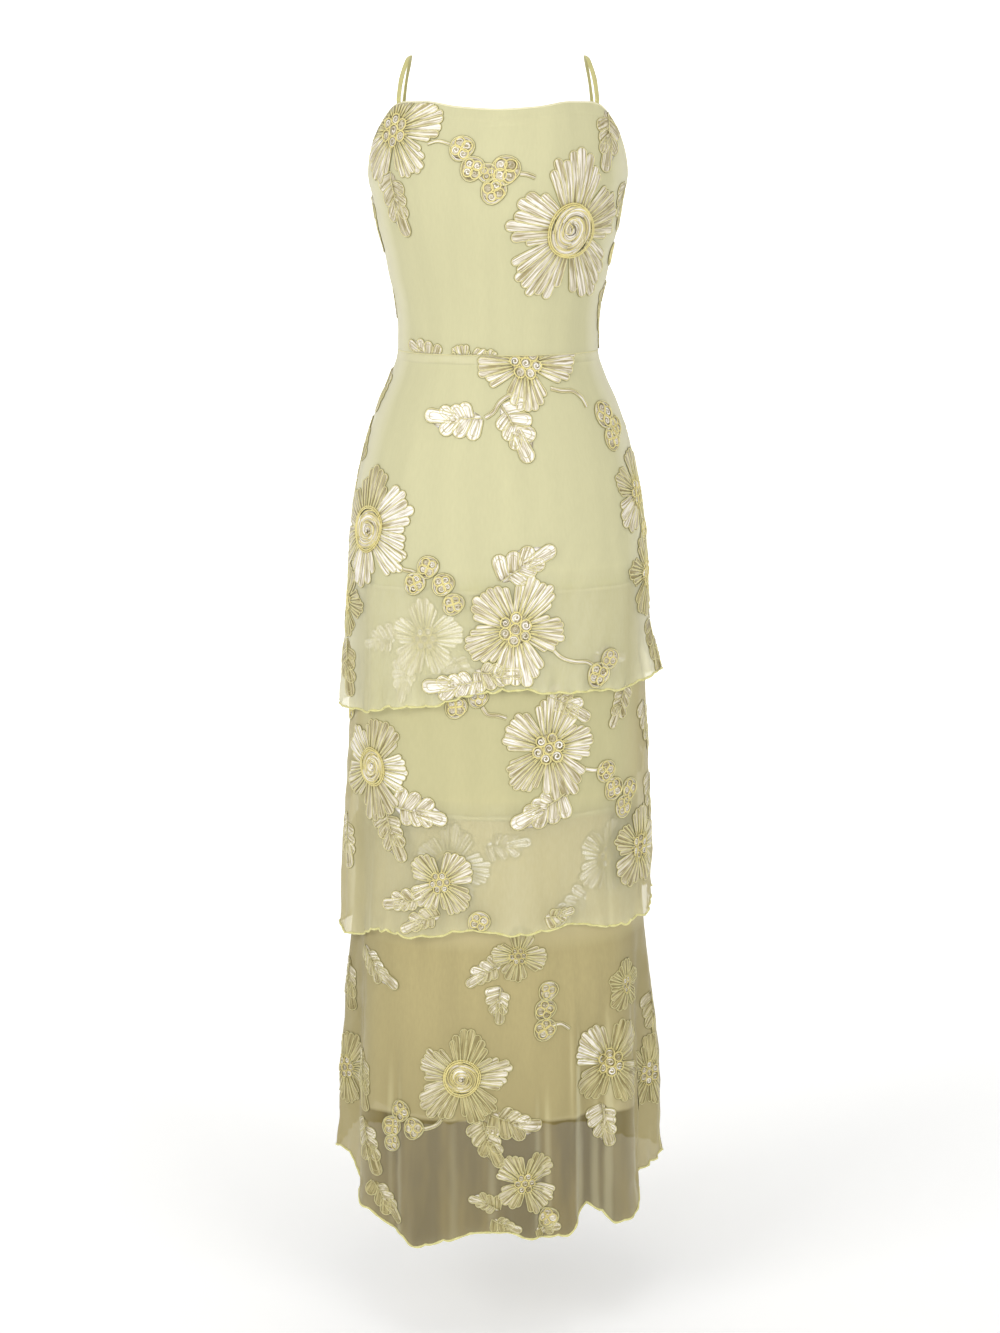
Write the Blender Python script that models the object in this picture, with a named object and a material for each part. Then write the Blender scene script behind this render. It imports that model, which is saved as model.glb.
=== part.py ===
"""Sleeveless maxi dress with spaghetti straps, a lined bodice, a slip skirt and three flounces.

Metres, +Z up. The dress faces -Y. The origin is midway between the tops of the two shoulder
straps, where the wearer's shoulders carry the dress, so heights below the shoulders are negative.

Every cloth panel is a thin wall. A ring of cloth at any height is worked out from the
sections of the slip (the innermost layer); the layers over it add their ease and their folds.
Angles run round the body: 0 at the centre front, +90 at the +X side seam, 180 at the centre
back, -90 at the -X side seam.
"""

import math

import bmesh
import bpy
from mathutils import Vector

# ---------------------------------------------------------------- named sizes (metres)
WALL = 0.0012            # thickness of each cloth wall
LAYER_GAP = 0.0005       # air between two layers that lie on each other
SEAM_GAP = 0.0004        # air between two pieces at a seam

WAIST_SEAM = -0.3090     # height of the waist seam
TIER2_SEAM = -0.5630     # where flounce 2 is sewn on the slip
TIER3_SEAM = -0.8120     # where flounce 3 is sewn on the slip
LINING_HEM = -1.1650     # slip's hem at the side seams
LINING_HEM_DIP = 0.0060  # the slip's hem is this much higher at the centre front

STRAP_WIDTH = 0.0050
STRAP_THICKNESS = 0.0020
STRAP_SEGMENTS = 26

FRONT_COLUMNS = 22       # facets round each front panel
BACK_COLUMNS = 18        # facets round each back panel
BODICE_ROWS = 7          # facets up the bodice

CLOSE = LAYER_GAP + WALL  # how far out a layer's face is when it lies on the slip

# ---------------------------------------------------------------- tables
# Outer face of the slip and of the bodice lining.
SECTION_COLUMNS = ("height", "half_width", "front", "back", "widest")
SECTIONS = (
    (-0.030, 0.1230, 0.0860, 0.0700, 0.000),
    (-0.050, 0.1285, 0.0950, 0.0790, 0.000),   # neckline
    (-0.071, 0.1335, 0.1040, 0.0870, 0.000),
    (-0.096, 0.1362, 0.1125, 0.0935, 0.000),
    (-0.123, 0.1372, 0.1180, 0.0965, 0.000),   # underarm
    (-0.149, 0.1325, 0.1190, 0.0965, 0.000),   # fullest over the bust
    (-0.176, 0.1283, 0.1145, 0.0945, 0.000),
    (-0.202, 0.1210, 0.1065, 0.0915, 0.000),
    (-0.229, 0.1158, 0.0985, 0.0880, 0.000),
    (-0.256, 0.1092, 0.0925, 0.0855, 0.000),
    (-0.283, 0.1068, 0.0885, 0.0840, 0.000),
    (-0.309, 0.1072, 0.0870, 0.0850, 0.000),   # waist
    (-0.337, 0.1150, 0.0905, 0.0905, 0.001),
    (-0.364, 0.1265, 0.0955, 0.0990, 0.003),
    (-0.395, 0.1372, 0.1000, 0.1085, 0.005),
    (-0.435, 0.1480, 0.1045, 0.1175, 0.006),
    (-0.480, 0.1560, 0.1070, 0.1220, 0.006),   # hip
    (-0.530, 0.1600, 0.1080, 0.1200, 0.005),
    (-0.563, 0.1608, 0.1080, 0.1165, 0.004),
    (-0.620, 0.1600, 0.1080, 0.1115, 0.003),
    (-0.700, 0.1583, 0.1075, 0.1085, 0.003),
    (-0.812, 0.1562, 0.1070, 0.1065, 0.003),
    (-0.960, 0.1540, 0.1065, 0.1055, 0.004),
    (-1.165, 0.1505, 0.1055, 0.1050, 0.005),   # slip's hem
    (-1.310, 0.1480, 0.1045, 0.1045, 0.006),   # (guide below the slip for flounce 3)
)

# How far each flounce stands off the slip's outer face, at front, sides and back.
EASE_COLUMNS = ("height", "front", "side", "back")
EASE = {
    "bodice": (
        (0.000, CLOSE, CLOSE, CLOSE),
        (-0.309, CLOSE, CLOSE, CLOSE),
    ),
    "tier1": (
        (-0.309, CLOSE, CLOSE, CLOSE),
        (-0.364, 0.0019, 0.0028, 0.0019),
        (-0.435, 0.0024, 0.0034, 0.0026),
        (-0.480, 0.0030, 0.0036, 0.0032),
        (-0.530, 0.0036, 0.0046, 0.0044),
        (-0.563, 0.0044, 0.0056, 0.0058),
        (-0.615, 0.0066, 0.0086, 0.0095),
        (-0.660, 0.0092, 0.0135, 0.0135),
        (-0.705, 0.0115, 0.0160, 0.0165),
    ),
    "tier2": (
        (-0.563, CLOSE, CLOSE, CLOSE),
        (-0.610, 0.0025, 0.0027, 0.0030),
        (-0.660, 0.0040, 0.0050, 0.0055),
        (-0.730, 0.0062, 0.0095, 0.0090),
        (-0.790, 0.0082, 0.0138, 0.0125),
        (-0.850, 0.0110, 0.0182, 0.0165),
        (-0.900, 0.0140, 0.0212, 0.0205),
        (-0.945, 0.0165, 0.0225, 0.0235),
    ),
    "tier3": (
        (-0.812, CLOSE, CLOSE, CLOSE),
        (-0.860, 0.0030, 0.0050, 0.0035),
        (-0.930, 0.0060, 0.0100, 0.0085),
        (-1.000, 0.0110, 0.0165, 0.0150),
        (-1.060, 0.0160, 0.0222, 0.0205),
        (-1.120, 0.0210, 0.0278, 0.0255),
        (-1.180, 0.0255, 0.0312, 0.0295),
        (-1.250, 0.0300, 0.0330, 0.0330),
        (-1.310, 0.0325, 0.0345, 0.0350),
    ),
}

# Largest folds: a soft ridge (out > 0) or trough (out < 0) that starts at one height
# and has its full depth at another, lower one.
FOLD_COLUMNS = ("angle", "half_spread", "out", "starts", "full")
FOLDS = {
    "bodice": (),
    "tier1": (
        (-84.0, 15.0, 0.0030, -0.560, -0.680),
        (-64.0, 11.0, -0.0040, -0.540, -0.680),
        (-38.0, 14.0, 0.0035, -0.580, -0.690),
        (-14.0, 11.0, -0.0018, -0.600, -0.680),
        (12.0, 13.0, 0.0026, -0.590, -0.680),
        (40.0, 13.0, -0.0018, -0.600, -0.680),
        (60.0, 10.0, -0.0030, -0.590, -0.670),
        (80.0, 14.0, 0.0075, -0.600, -0.675),
        (112.0, 16.0, -0.0030, -0.580, -0.680),
        (140.0, 14.0, 0.0040, -0.570, -0.690),
        (168.0, 14.0, -0.0030, -0.580, -0.690),
        (-160.0, 14.0, 0.0040, -0.570, -0.690),
        (-128.0, 15.0, -0.0030, -0.560, -0.680),
    ),
    "tier2": (
        (-84.0, 14.0, 0.0030, -0.760, -0.930),
        (-63.0, 10.0, -0.0055, -0.700, -0.900),
        (-40.0, 13.0, 0.0035, -0.780, -0.930),
        (-14.0, 12.0, -0.0025, -0.800, -0.930),
        (10.0, 12.0, 0.0030, -0.800, -0.930),
        (34.0, 12.0, -0.0030, -0.780, -0.930),
        (56.0, 11.0, 0.0030, -0.760, -0.930),
        (88.0, 15.0, -0.0060, -0.870, -0.930),
        (116.0, 15.0, 0.0045, -0.740, -0.930),
        (144.0, 14.0, -0.0045, -0.740, -0.930),
        (170.0, 14.0, 0.0045, -0.720, -0.930),
        (-152.0, 15.0, -0.0040, -0.740, -0.930),
        (-118.0, 15.0, 0.0050, -0.740, -0.930),
    ),
    "tier3": (
        (-102.0, 14.0, -0.0025, -0.940, -1.180),
        (-73.0, 12.0, -0.0150, -0.880, -1.150),
        (-55.0, 9.0, 0.0035, -0.900, -1.150),
        (-29.0, 13.0, 0.0065, -1.020, -1.280),
        (-8.0, 10.0, -0.0045, -1.040, -1.260),
        (9.0, 10.0, 0.0055, -1.020, -1.280),
        (24.0, 8.0, 0.0030, -1.000, -1.260),
        (37.0, 9.0, -0.0110, -1.020, -1.250),
        (54.0, 10.0, 0.0060, -0.900, -1.140),
        (73.0, 11.0, -0.0130, -0.900, -1.150),
        (96.0, 15.0, 0.0085, -0.930, -1.130),
        (122.0, 14.0, -0.0090, -0.940, -1.200),
        (143.0, 13.0, 0.0080, -0.920, -1.200),
        (165.0, 12.0, -0.0090, -0.940, -1.200),
        (-172.0, 13.0, 0.0070, -0.920, -1.200),
        (-148.0, 13.0, -0.0090, -0.940, -1.200),
        (-126.0, 13.0, 0.0060, -0.940, -1.200),
    ),
}

# Height of the top edge round the body: neckline, armhole, back.
EDGE_COLUMNS = ("angle", "height")
NECKLINE_CORNER = 55.0
BACK_STRAP_ANGLE = 128.0
TOP_EDGE = (
    (0.0, -0.0550),
    (18.0, -0.0525),
    (36.0, -0.0470),
    (48.0, -0.0470),
    (NECKLINE_CORNER, -0.0495),
    (67.0, -0.0720),
    (77.0, -0.0965),
    (90.0, -0.1235),
    (108.0, -0.1345),
    (BACK_STRAP_ANGLE, -0.1380),
    (155.0, -0.1410),
    (180.0, -0.1430),
)

# Height of each flounce's hem round the body.
HEM = {
    "tier1": (
        (-180.0, -0.690), (-135.0, -0.694), (-100.0, -0.702), (-78.0, -0.703), (-58.0, -0.699),
        (-44.0, -0.689), (-28.0, -0.686), (-8.0, -0.668), (10.0, -0.665), (30.0, -0.670),
        (50.0, -0.672), (66.0, -0.668), (82.0, -0.664), (100.0, -0.672), (140.0, -0.686), (180.0, -0.690),
    ),
    "tier2": (
        (-180.0, -0.944), (-130.0, -0.952), (-92.0, -0.963), (-68.0, -0.959), (-48.0, -0.943),
        (-30.0, -0.943), (-10.0, -0.934), (10.0, -0.936), (30.0, -0.930), (50.0, -0.938),
        (70.0, -0.934), (90.0, -0.923), (120.0, -0.934), (180.0, -0.944),
    ),
    "tier3": (
        (-180.0, -1.258), (-140.0, -1.250), (-105.0, -1.226), (-82.0, -1.228), (-64.0, -1.262),
        (-46.0, -1.284), (-30.0, -1.300), (-14.0, -1.286), (2.0, -1.278), (14.0, -1.288),
        (26.0, -1.284), (37.0, -1.260), (50.0, -1.288), (62.0, -1.274), (78.0, -1.244),
        (100.0, -1.244), (140.0, -1.252), (180.0, -1.258),
    ),
}

# Heights of the facet rows; the last row of a flounce follows its hem.
SLIP_LEVELS = (-0.309, -0.337, -0.364, -0.395, -0.435, -0.480, -0.530, -0.563,
               -0.620, -0.812, -0.960)
TIER_LEVELS = {
    "tier1": (-0.309, -0.337, -0.364, -0.395, -0.435, -0.480, -0.530, -0.563, -0.612),
    "tier2": (-0.563, -0.620, -0.680, -0.740, -0.812, -0.870),
    "tier3": (-0.812, -0.870, -0.940, -1.010, -1.080, -1.150, -1.210),
}

# The strap's middle line, from the neckline over the shoulder (for the +X side).
STRAP_COLUMNS = ("x", "y", "z")
STRAP_OVER_SHOULDER = (
    (0.1015, -0.0350, -0.0215),
    (0.0960, -0.0130, -0.0025),
    (0.0935, 0.0050, 0.0010),
    (0.0955, 0.0260, -0.0065),
    (0.1003, 0.0455, -0.0290),
    (0.1045, 0.0570, -0.0650),
    (0.1070, 0.0605, -0.1030),
)

CLOTH_COLOURS = {
    "mesh": (0.69, 0.65, 0.36, 1.0),
    "lining": (0.62, 0.59, 0.29, 1.0),
    "strap": (0.66, 0.66, 0.30, 1.0),
}


# ---------------------------------------------------------------- reading the tables
def smooth_read(rows, at):
    """The row's other columns at a value of the first, through a smooth curve that never overshoots."""
    keys = [row[0] for row in rows]
    if keys[0] > keys[-1]:
        rows = rows[::-1]
        keys = keys[::-1]
    if at <= keys[0]:
        return rows[0][1:]
    if at >= keys[-1]:
        return rows[-1][1:]
    i = max(k for k in range(len(keys) - 1) if keys[k] <= at)
    step = keys[i + 1] - keys[i]
    t = (at - keys[i]) / step

    def slope(column, k):
        if k == 0 or k == len(keys) - 1:
            return 0.0
        before = (rows[k][column] - rows[k - 1][column]) / (keys[k] - keys[k - 1])
        after = (rows[k + 1][column] - rows[k][column]) / (keys[k + 1] - keys[k])
        if before * after <= 0:
            return 0.0
        return 2 * before * after / (before + after)

    out = []
    for column in range(1, len(rows[0])):
        a, b = rows[i][column], rows[i + 1][column]
        m0, m1 = slope(column, i) * step, slope(column, i + 1) * step
        out.append(
            (2 * t**3 - 3 * t**2 + 1) * a + (t**3 - 2 * t**2 + t) * m0
            + (-2 * t**3 + 3 * t**2) * b + (t**3 - t**2) * m1
        )
    return tuple(out)


def soft_step(t):
    t = min(1.0, max(0.0, t))
    return t * t * (3 - 2 * t)


def turn_between(angle, other):
    """The smallest turn from one angle to another, in degrees."""
    return (angle - other + 180.0) % 360.0 - 180.0


# ---------------------------------------------------------------- the cloth's faces
def slip_ring(angle, height):
    """A point of the slip's outer face and the outward direction there, both level."""
    half_width, front, back, widest = smooth_read(SECTIONS, height)
    s, c = math.sin(math.radians(angle)), math.cos(math.radians(angle))
    depth = front + widest if c > 0 else back - widest
    x, y = half_width * s, widest - depth * c
    out = Vector((s / half_width, -c / depth, 0.0)).normalized()
    return Vector((x, y, height)), out


def stand_off(layer, angle, height):
    """How far a layer's outer face is from the slip's."""
    if layer == "slip":
        return 0.0
    front, side, back = smooth_read(EASE[layer], height)
    s, c = math.sin(math.radians(angle)), math.cos(math.radians(angle))
    off = (front if c > 0 else back) * c * c + side * s * s
    for fold_angle, half_spread, out, starts, full in FOLDS[layer]:
        turn = abs(turn_between(angle, fold_angle))
        if turn < half_spread:
            ramp = soft_step((starts - height) / (starts - full))
            off += out * ramp * math.cos(math.pi / 2 * turn / half_spread) ** 2
    return max(off, CLOSE)


def outer(layer, angle, height):
    point, out = slip_ring(angle, height)
    return point + out * stand_off(layer, angle, height)


def facing(layer, angle, height):
    """The outward normal of a layer's outer face."""
    d_angle, d_height = 0.4, 0.002
    round_it = outer(layer, angle + d_angle, height) - outer(layer, angle - d_angle, height)
    up = outer(layer, angle, height + d_height) - outer(layer, angle, height - d_height)
    return round_it.cross(up).normalized()


# ---------------------------------------------------------------- building
def clear_scene():
    for thing in list(bpy.data.objects):
        bpy.data.objects.remove(thing, do_unlink=True)


def cloth_material(name, colour, roughness):
    material = bpy.data.materials.new(name)
    material.use_nodes = True
    shader = material.node_tree.nodes["Principled BSDF"]
    shader.inputs["Base Color"].default_value = colour
    shader.inputs["Roughness"].default_value = roughness
    shader.inputs["Metallic"].default_value = 0.0
    material.diffuse_color = colour
    return material


def column_angles(side):
    """Angles of a panel's columns, from one side seam to the other, a seam gap short at both ends."""
    count = FRONT_COLUMNS if side == "front" else BACK_COLUMNS
    middle = 0.0 if side == "front" else 180.0
    return [middle - 90.0 + 180.0 * i / count for i in range(count + 1)]


def seam_short(angle, side, height):
    """An end column's angle, moved off the side seam by half of the seam's gap."""
    half_width = smooth_read(SECTIONS, height)[0]
    little = math.degrees(SEAM_GAP / 2 / half_width)
    middle = 0.0 if side == "front" else 180.0
    if abs(angle - (middle - 90.0)) < 1e-6:
        return angle + little
    if abs(angle - (middle + 90.0)) < 1e-6:
        return angle - little
    return angle


def wall_panel(name, layer, side, heights_at, material):
    """One panel as a closed wall: its outer face, its inner face a wall inside it, and the four edges."""
    mesh = bmesh.new()
    angles = column_angles(side)
    outside, inside = [], []
    for angle in angles:
        heights = heights_at(angle)
        outside.append([])
        inside.append([])
        for height in heights:
            at = seam_short(angle, side, height)
            point = outer(layer, at, height)
            outside[-1].append(mesh.verts.new(point))
            inside[-1].append(mesh.verts.new(point - facing(layer, at, height) * WALL))
    columns, rows = len(angles) - 1, len(outside[0]) - 1
    for i in range(columns):
        for j in range(rows):
            # rows run from the lower edge up; both faces split along the same diagonal
            a, b = outside[i][j], outside[i + 1][j]
            c, d = outside[i + 1][j + 1], outside[i][j + 1]
            mesh.faces.new((a, b, c))
            mesh.faces.new((a, c, d))
            a, b = inside[i][j], inside[i + 1][j]
            c, d = inside[i + 1][j + 1], inside[i][j + 1]
            mesh.faces.new((a, c, b))
            mesh.faces.new((a, d, c))
    for i in range(columns):
        mesh.faces.new((outside[i][0], inside[i][0], inside[i + 1][0], outside[i + 1][0]))
        mesh.faces.new((outside[i][rows], outside[i + 1][rows], inside[i + 1][rows], inside[i][rows]))
    for j in range(rows):
        mesh.faces.new((outside[0][j], outside[0][j + 1], inside[0][j + 1], inside[0][j]))
        mesh.faces.new((outside[columns][j], inside[columns][j], inside[columns][j + 1], outside[columns][j + 1]))
    return finish_mesh(name, mesh, material)


def finish_mesh(name, mesh, material):
    data = bpy.data.meshes.new(name)
    mesh.to_mesh(data)
    mesh.free()
    data.materials.append(material)
    data.shade_smooth()
    data.set_sharp_from_angle(angle=math.radians(50))
    thing = bpy.data.objects.new(name, data)
    bpy.context.scene.collection.objects.link(thing)
    return thing


def top_edge(angle):
    return smooth_read(TOP_EDGE, abs(turn_between(angle, 0.0)))[0]


def bodice_heights(drop):
    """Row heights of the bodice or its lining, which stops this much below the bodice's top edge."""
    low = WAIST_SEAM + SEAM_GAP / 2

    def at(angle):
        high = top_edge(angle) - drop
        return [low + (high - low) * j / BODICE_ROWS for j in range(BODICE_ROWS + 1)]

    return at


def hem_height(layer, angle):
    angle = turn_between(angle, 0.0)
    if layer == "slip":
        front = max(0.0, math.cos(math.radians(angle)))
        return LINING_HEM + LINING_HEM_DIP * front
    return smooth_read(HEM[layer], angle)[0]


def skirt_heights(layer, levels, top_gap):
    def at(angle):
        rows = [hem_height(layer, angle)] + list(reversed(levels))
        rows[-1] -= top_gap
        return rows

    return at


def strap(name, side, material):
    """A flat tube from the neckline over the shoulder to the back's top edge, on the +X (1) or -X (-1) side."""
    front_top = top_edge(NECKLINE_CORNER - 1.5)
    back_top = top_edge(BACK_STRAP_ANGLE)
    start = outer("bodice", NECKLINE_CORNER - 1.5, front_top)
    end = outer("bodice", BACK_STRAP_ANGLE, back_top)
    start_out, end_out = slip_ring(NECKLINE_CORNER - 1.5, front_top)[1], slip_ring(BACK_STRAP_ANGLE, back_top)[1]
    half = STRAP_THICKNESS / 2
    clear = 0.0012
    start = start - start_out * half + Vector((0, 0, clear))
    end = end - end_out * half + Vector((0, 0, clear))
    line = [start, start + Vector((0, 0.001, 0.006))]
    line += [Vector(row) for row in STRAP_OVER_SHOULDER]
    line += [end + Vector((0, -0.0005, 0.008)), end]

    def on_line(t):
        """A point of a smooth curve through the line's points."""
        reach = t * (len(line) - 1)
        i = min(int(reach), len(line) - 2)
        u = reach - i
        p1, p2 = line[i], line[i + 1]
        p0 = line[i - 1] if i > 0 else p1 * 2 - p2
        p3 = line[i + 2] if i + 2 < len(line) else p2 * 2 - p1
        return 0.5 * ((p1 * 2) + (p2 - p0) * u + (p0 * 2 - p1 * 5 + p2 * 4 - p3) * u * u
                      + (p1 * 3 - p0 - p2 * 3 + p3) * u * u * u)

    mesh = bmesh.new()
    loops = []
    for k in range(STRAP_SEGMENTS + 1):
        t = k / STRAP_SEGMENTS
        here = on_line(t)
        along = (on_line(min(1.0, t + 0.004)) - on_line(max(0.0, t - 0.004))).normalized()
        # the flat side faces the body: outwards in front, up over the shoulder, back behind
        face = Vector((0.35 + 0.25 * t, -1.0 + 2.0 * t, 0.9))
        if t < 0.18:
            face = start_out.lerp(face, soft_step(t / 0.18))
        if t > 0.82:
            face = end_out.lerp(face, soft_step((1 - t) / 0.18))
        across = along.cross(face).normalized()
        up = across.cross(along).normalized()
        loop = []
        for across_part, up_part in ((1, 0), (0.72, 1), (-0.72, 1), (-1, 0), (-0.72, -1), (0.72, -1)):
            point = here + across * (across_part * STRAP_WIDTH / 2) + up * (up_part * half)
            loop.append(mesh.verts.new((point.x * side, point.y, point.z)))
        loops.append(loop)
    for first, second in zip(loops, loops[1:]):
        for k in range(6):
            n = (k + 1) % 6
            mesh.faces.new((first[k], first[n], second[n], second[k]))
    mesh.faces.new(list(reversed(loops[0])))
    mesh.faces.new(loops[-1])
    bmesh.ops.recalc_face_normals(mesh, faces=mesh.faces)
    return finish_mesh(name, mesh, material)


def build():
    clear_scene()
    mesh_cloth = {n: cloth_material(n + "_cloth", CLOTH_COLOURS["mesh"], 0.75)
                  for n in ("bodice_front", "bodice_back", "tier1_front", "tier1_back",
                            "tier2_front", "tier2_back", "tier3_front", "tier3_back")}
    lining_cloth = {n: cloth_material(n + "_cloth", CLOTH_COLOURS["lining"], 0.8)
                    for n in ("bodice_lining_front", "bodice_lining_back",
                              "skirt_lining_front", "skirt_lining_back")}
    for side in ("front", "back"):
        name = "bodice_" + side
        wall_panel(name, "bodice", side, bodice_heights(0.0), mesh_cloth[name])
        name = "bodice_lining_" + side
        wall_panel(name, "slip", side, bodice_heights(0.0006), lining_cloth[name])
        name = "skirt_lining_" + side
        wall_panel(name, "slip", side, skirt_heights("slip", SLIP_LEVELS, SEAM_GAP / 2), lining_cloth[name])
        for tier, gap in (("tier1", SEAM_GAP / 2), ("tier2", 0.0), ("tier3", 0.0)):
            name = tier + "_" + side
            wall_panel(name, tier, side, skirt_heights(tier, TIER_LEVELS[tier], gap), mesh_cloth[name])
    for name, side in (("strap_left", -1), ("strap_right", 1)):
        strap(name, side, cloth_material(name + "_cloth", CLOTH_COLOURS["strap"], 0.6))


build()
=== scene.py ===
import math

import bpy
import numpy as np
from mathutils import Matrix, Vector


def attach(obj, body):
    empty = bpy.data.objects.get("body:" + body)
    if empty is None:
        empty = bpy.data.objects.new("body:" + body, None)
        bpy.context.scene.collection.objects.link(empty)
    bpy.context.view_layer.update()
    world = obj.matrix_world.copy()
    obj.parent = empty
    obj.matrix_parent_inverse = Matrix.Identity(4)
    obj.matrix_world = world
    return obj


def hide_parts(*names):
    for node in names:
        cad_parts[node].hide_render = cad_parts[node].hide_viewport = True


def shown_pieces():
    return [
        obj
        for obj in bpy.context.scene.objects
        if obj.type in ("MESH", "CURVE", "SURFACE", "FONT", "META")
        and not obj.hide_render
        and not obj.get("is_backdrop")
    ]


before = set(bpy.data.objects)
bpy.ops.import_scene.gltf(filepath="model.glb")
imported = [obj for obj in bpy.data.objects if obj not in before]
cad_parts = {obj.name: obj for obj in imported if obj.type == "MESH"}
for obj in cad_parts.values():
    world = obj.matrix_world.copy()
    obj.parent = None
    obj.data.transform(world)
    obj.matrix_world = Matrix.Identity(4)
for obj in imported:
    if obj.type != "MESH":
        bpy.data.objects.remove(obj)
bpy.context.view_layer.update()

# Looks of the maxi dress: sheer embroidered mesh over an opaque slip, lettuce hems, spaghetti straps.
# Metres, +Z up, the dress faces -Y. Angles run round the body in degrees: 0 is the centre front,
# +90 the +X side seam, 180 the centre back. The cloth's form repeats the tables of the CAD source.

# ================================================================ the camera
CAMERA_PLACE = (0.0022, -2.740, -0.095)
CAMERA_DOWN = 11.7          # degrees below level
CAMERA_LENS = 67.5          # mm, for the image's long side of 36 mm
FLOOR = -1.414              # the wearer's soles, below the hem

camera_data = bpy.data.cameras.new("camera")
camera_data.lens = CAMERA_LENS
camera_data.sensor_width = 36.0
camera_data.sensor_fit = "AUTO"
camera_data.clip_start = 0.05
camera_data.clip_end = 60.0
camera = bpy.data.objects.new("camera", camera_data)
camera.location = CAMERA_PLACE
camera.rotation_euler = (math.radians(90.0 - CAMERA_DOWN), 0.0, 0.0)
bpy.context.scene.collection.objects.link(camera)
bpy.context.scene.camera = camera

# ================================================================ the dress's form (as in the CAD source)
WALL = 0.0012
LAYER_GAP = 0.0005
CLOSE = LAYER_GAP + WALL
WAIST_SEAM = -0.3090
TIER2_SEAM = -0.5630
TIER3_SEAM = -0.8120
LINING_HEM = -1.1650
LINING_HEM_DIP = 0.0060
STRAP_WIDTH = 0.0050
STRAP_THICKNESS = 0.0020

# height, half_width, front, back, widest: outer face of the slip and of the bodice lining
SECTIONS = (
    (-0.030, 0.1230, 0.0860, 0.0700, 0.000),
    (-0.050, 0.1285, 0.0950, 0.0790, 0.000),
    (-0.071, 0.1335, 0.1040, 0.0870, 0.000),
    (-0.096, 0.1362, 0.1125, 0.0935, 0.000),
    (-0.123, 0.1372, 0.1180, 0.0965, 0.000),
    (-0.149, 0.1325, 0.1190, 0.0965, 0.000),
    (-0.176, 0.1283, 0.1145, 0.0945, 0.000),
    (-0.202, 0.1210, 0.1065, 0.0915, 0.000),
    (-0.229, 0.1158, 0.0985, 0.0880, 0.000),
    (-0.256, 0.1092, 0.0925, 0.0855, 0.000),
    (-0.283, 0.1068, 0.0885, 0.0840, 0.000),
    (-0.309, 0.1072, 0.0870, 0.0850, 0.000),
    (-0.337, 0.1150, 0.0905, 0.0905, 0.001),
    (-0.364, 0.1265, 0.0955, 0.0990, 0.003),
    (-0.395, 0.1372, 0.1000, 0.1085, 0.005),
    (-0.435, 0.1480, 0.1045, 0.1175, 0.006),
    (-0.480, 0.1560, 0.1070, 0.1220, 0.006),
    (-0.530, 0.1600, 0.1080, 0.1200, 0.005),
    (-0.563, 0.1608, 0.1080, 0.1165, 0.004),
    (-0.620, 0.1600, 0.1080, 0.1115, 0.003),
    (-0.700, 0.1583, 0.1075, 0.1085, 0.003),
    (-0.812, 0.1562, 0.1070, 0.1065, 0.003),
    (-0.960, 0.1540, 0.1065, 0.1055, 0.004),
    (-1.165, 0.1505, 0.1055, 0.1050, 0.005),
    (-1.310, 0.1480, 0.1045, 0.1045, 0.006),
)

# height, front, side, back: how far each layer stands off the slip's outer face
EASE = {
    "bodice": (
        (0.000, CLOSE, CLOSE, CLOSE),
        (-0.309, CLOSE, CLOSE, CLOSE),
    ),
    "tier1": (
        (-0.309, CLOSE, CLOSE, CLOSE),
        (-0.364, 0.0019, 0.0028, 0.0019),
        (-0.435, 0.0024, 0.0034, 0.0026),
        (-0.480, 0.0030, 0.0036, 0.0032),
        (-0.530, 0.0036, 0.0046, 0.0044),
        (-0.563, 0.0044, 0.0056, 0.0058),
        (-0.615, 0.0066, 0.0086, 0.0095),
        (-0.660, 0.0092, 0.0135, 0.0135),
        (-0.705, 0.0115, 0.0160, 0.0165),
    ),
    "tier2": (
        (-0.563, CLOSE, CLOSE, CLOSE),
        (-0.610, 0.0025, 0.0027, 0.0030),
        (-0.660, 0.0040, 0.0050, 0.0055),
        (-0.730, 0.0062, 0.0095, 0.0090),
        (-0.790, 0.0082, 0.0138, 0.0125),
        (-0.850, 0.0110, 0.0182, 0.0165),
        (-0.900, 0.0140, 0.0212, 0.0205),
        (-0.945, 0.0165, 0.0225, 0.0235),
    ),
    "tier3": (
        (-0.812, CLOSE, CLOSE, CLOSE),
        (-0.860, 0.0030, 0.0050, 0.0035),
        (-0.930, 0.0060, 0.0100, 0.0085),
        (-1.000, 0.0110, 0.0165, 0.0150),
        (-1.060, 0.0160, 0.0222, 0.0205),
        (-1.120, 0.0210, 0.0278, 0.0255),
        (-1.180, 0.0255, 0.0312, 0.0295),
        (-1.250, 0.0300, 0.0330, 0.0330),
        (-1.310, 0.0325, 0.0345, 0.0350),
    ),
}

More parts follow.
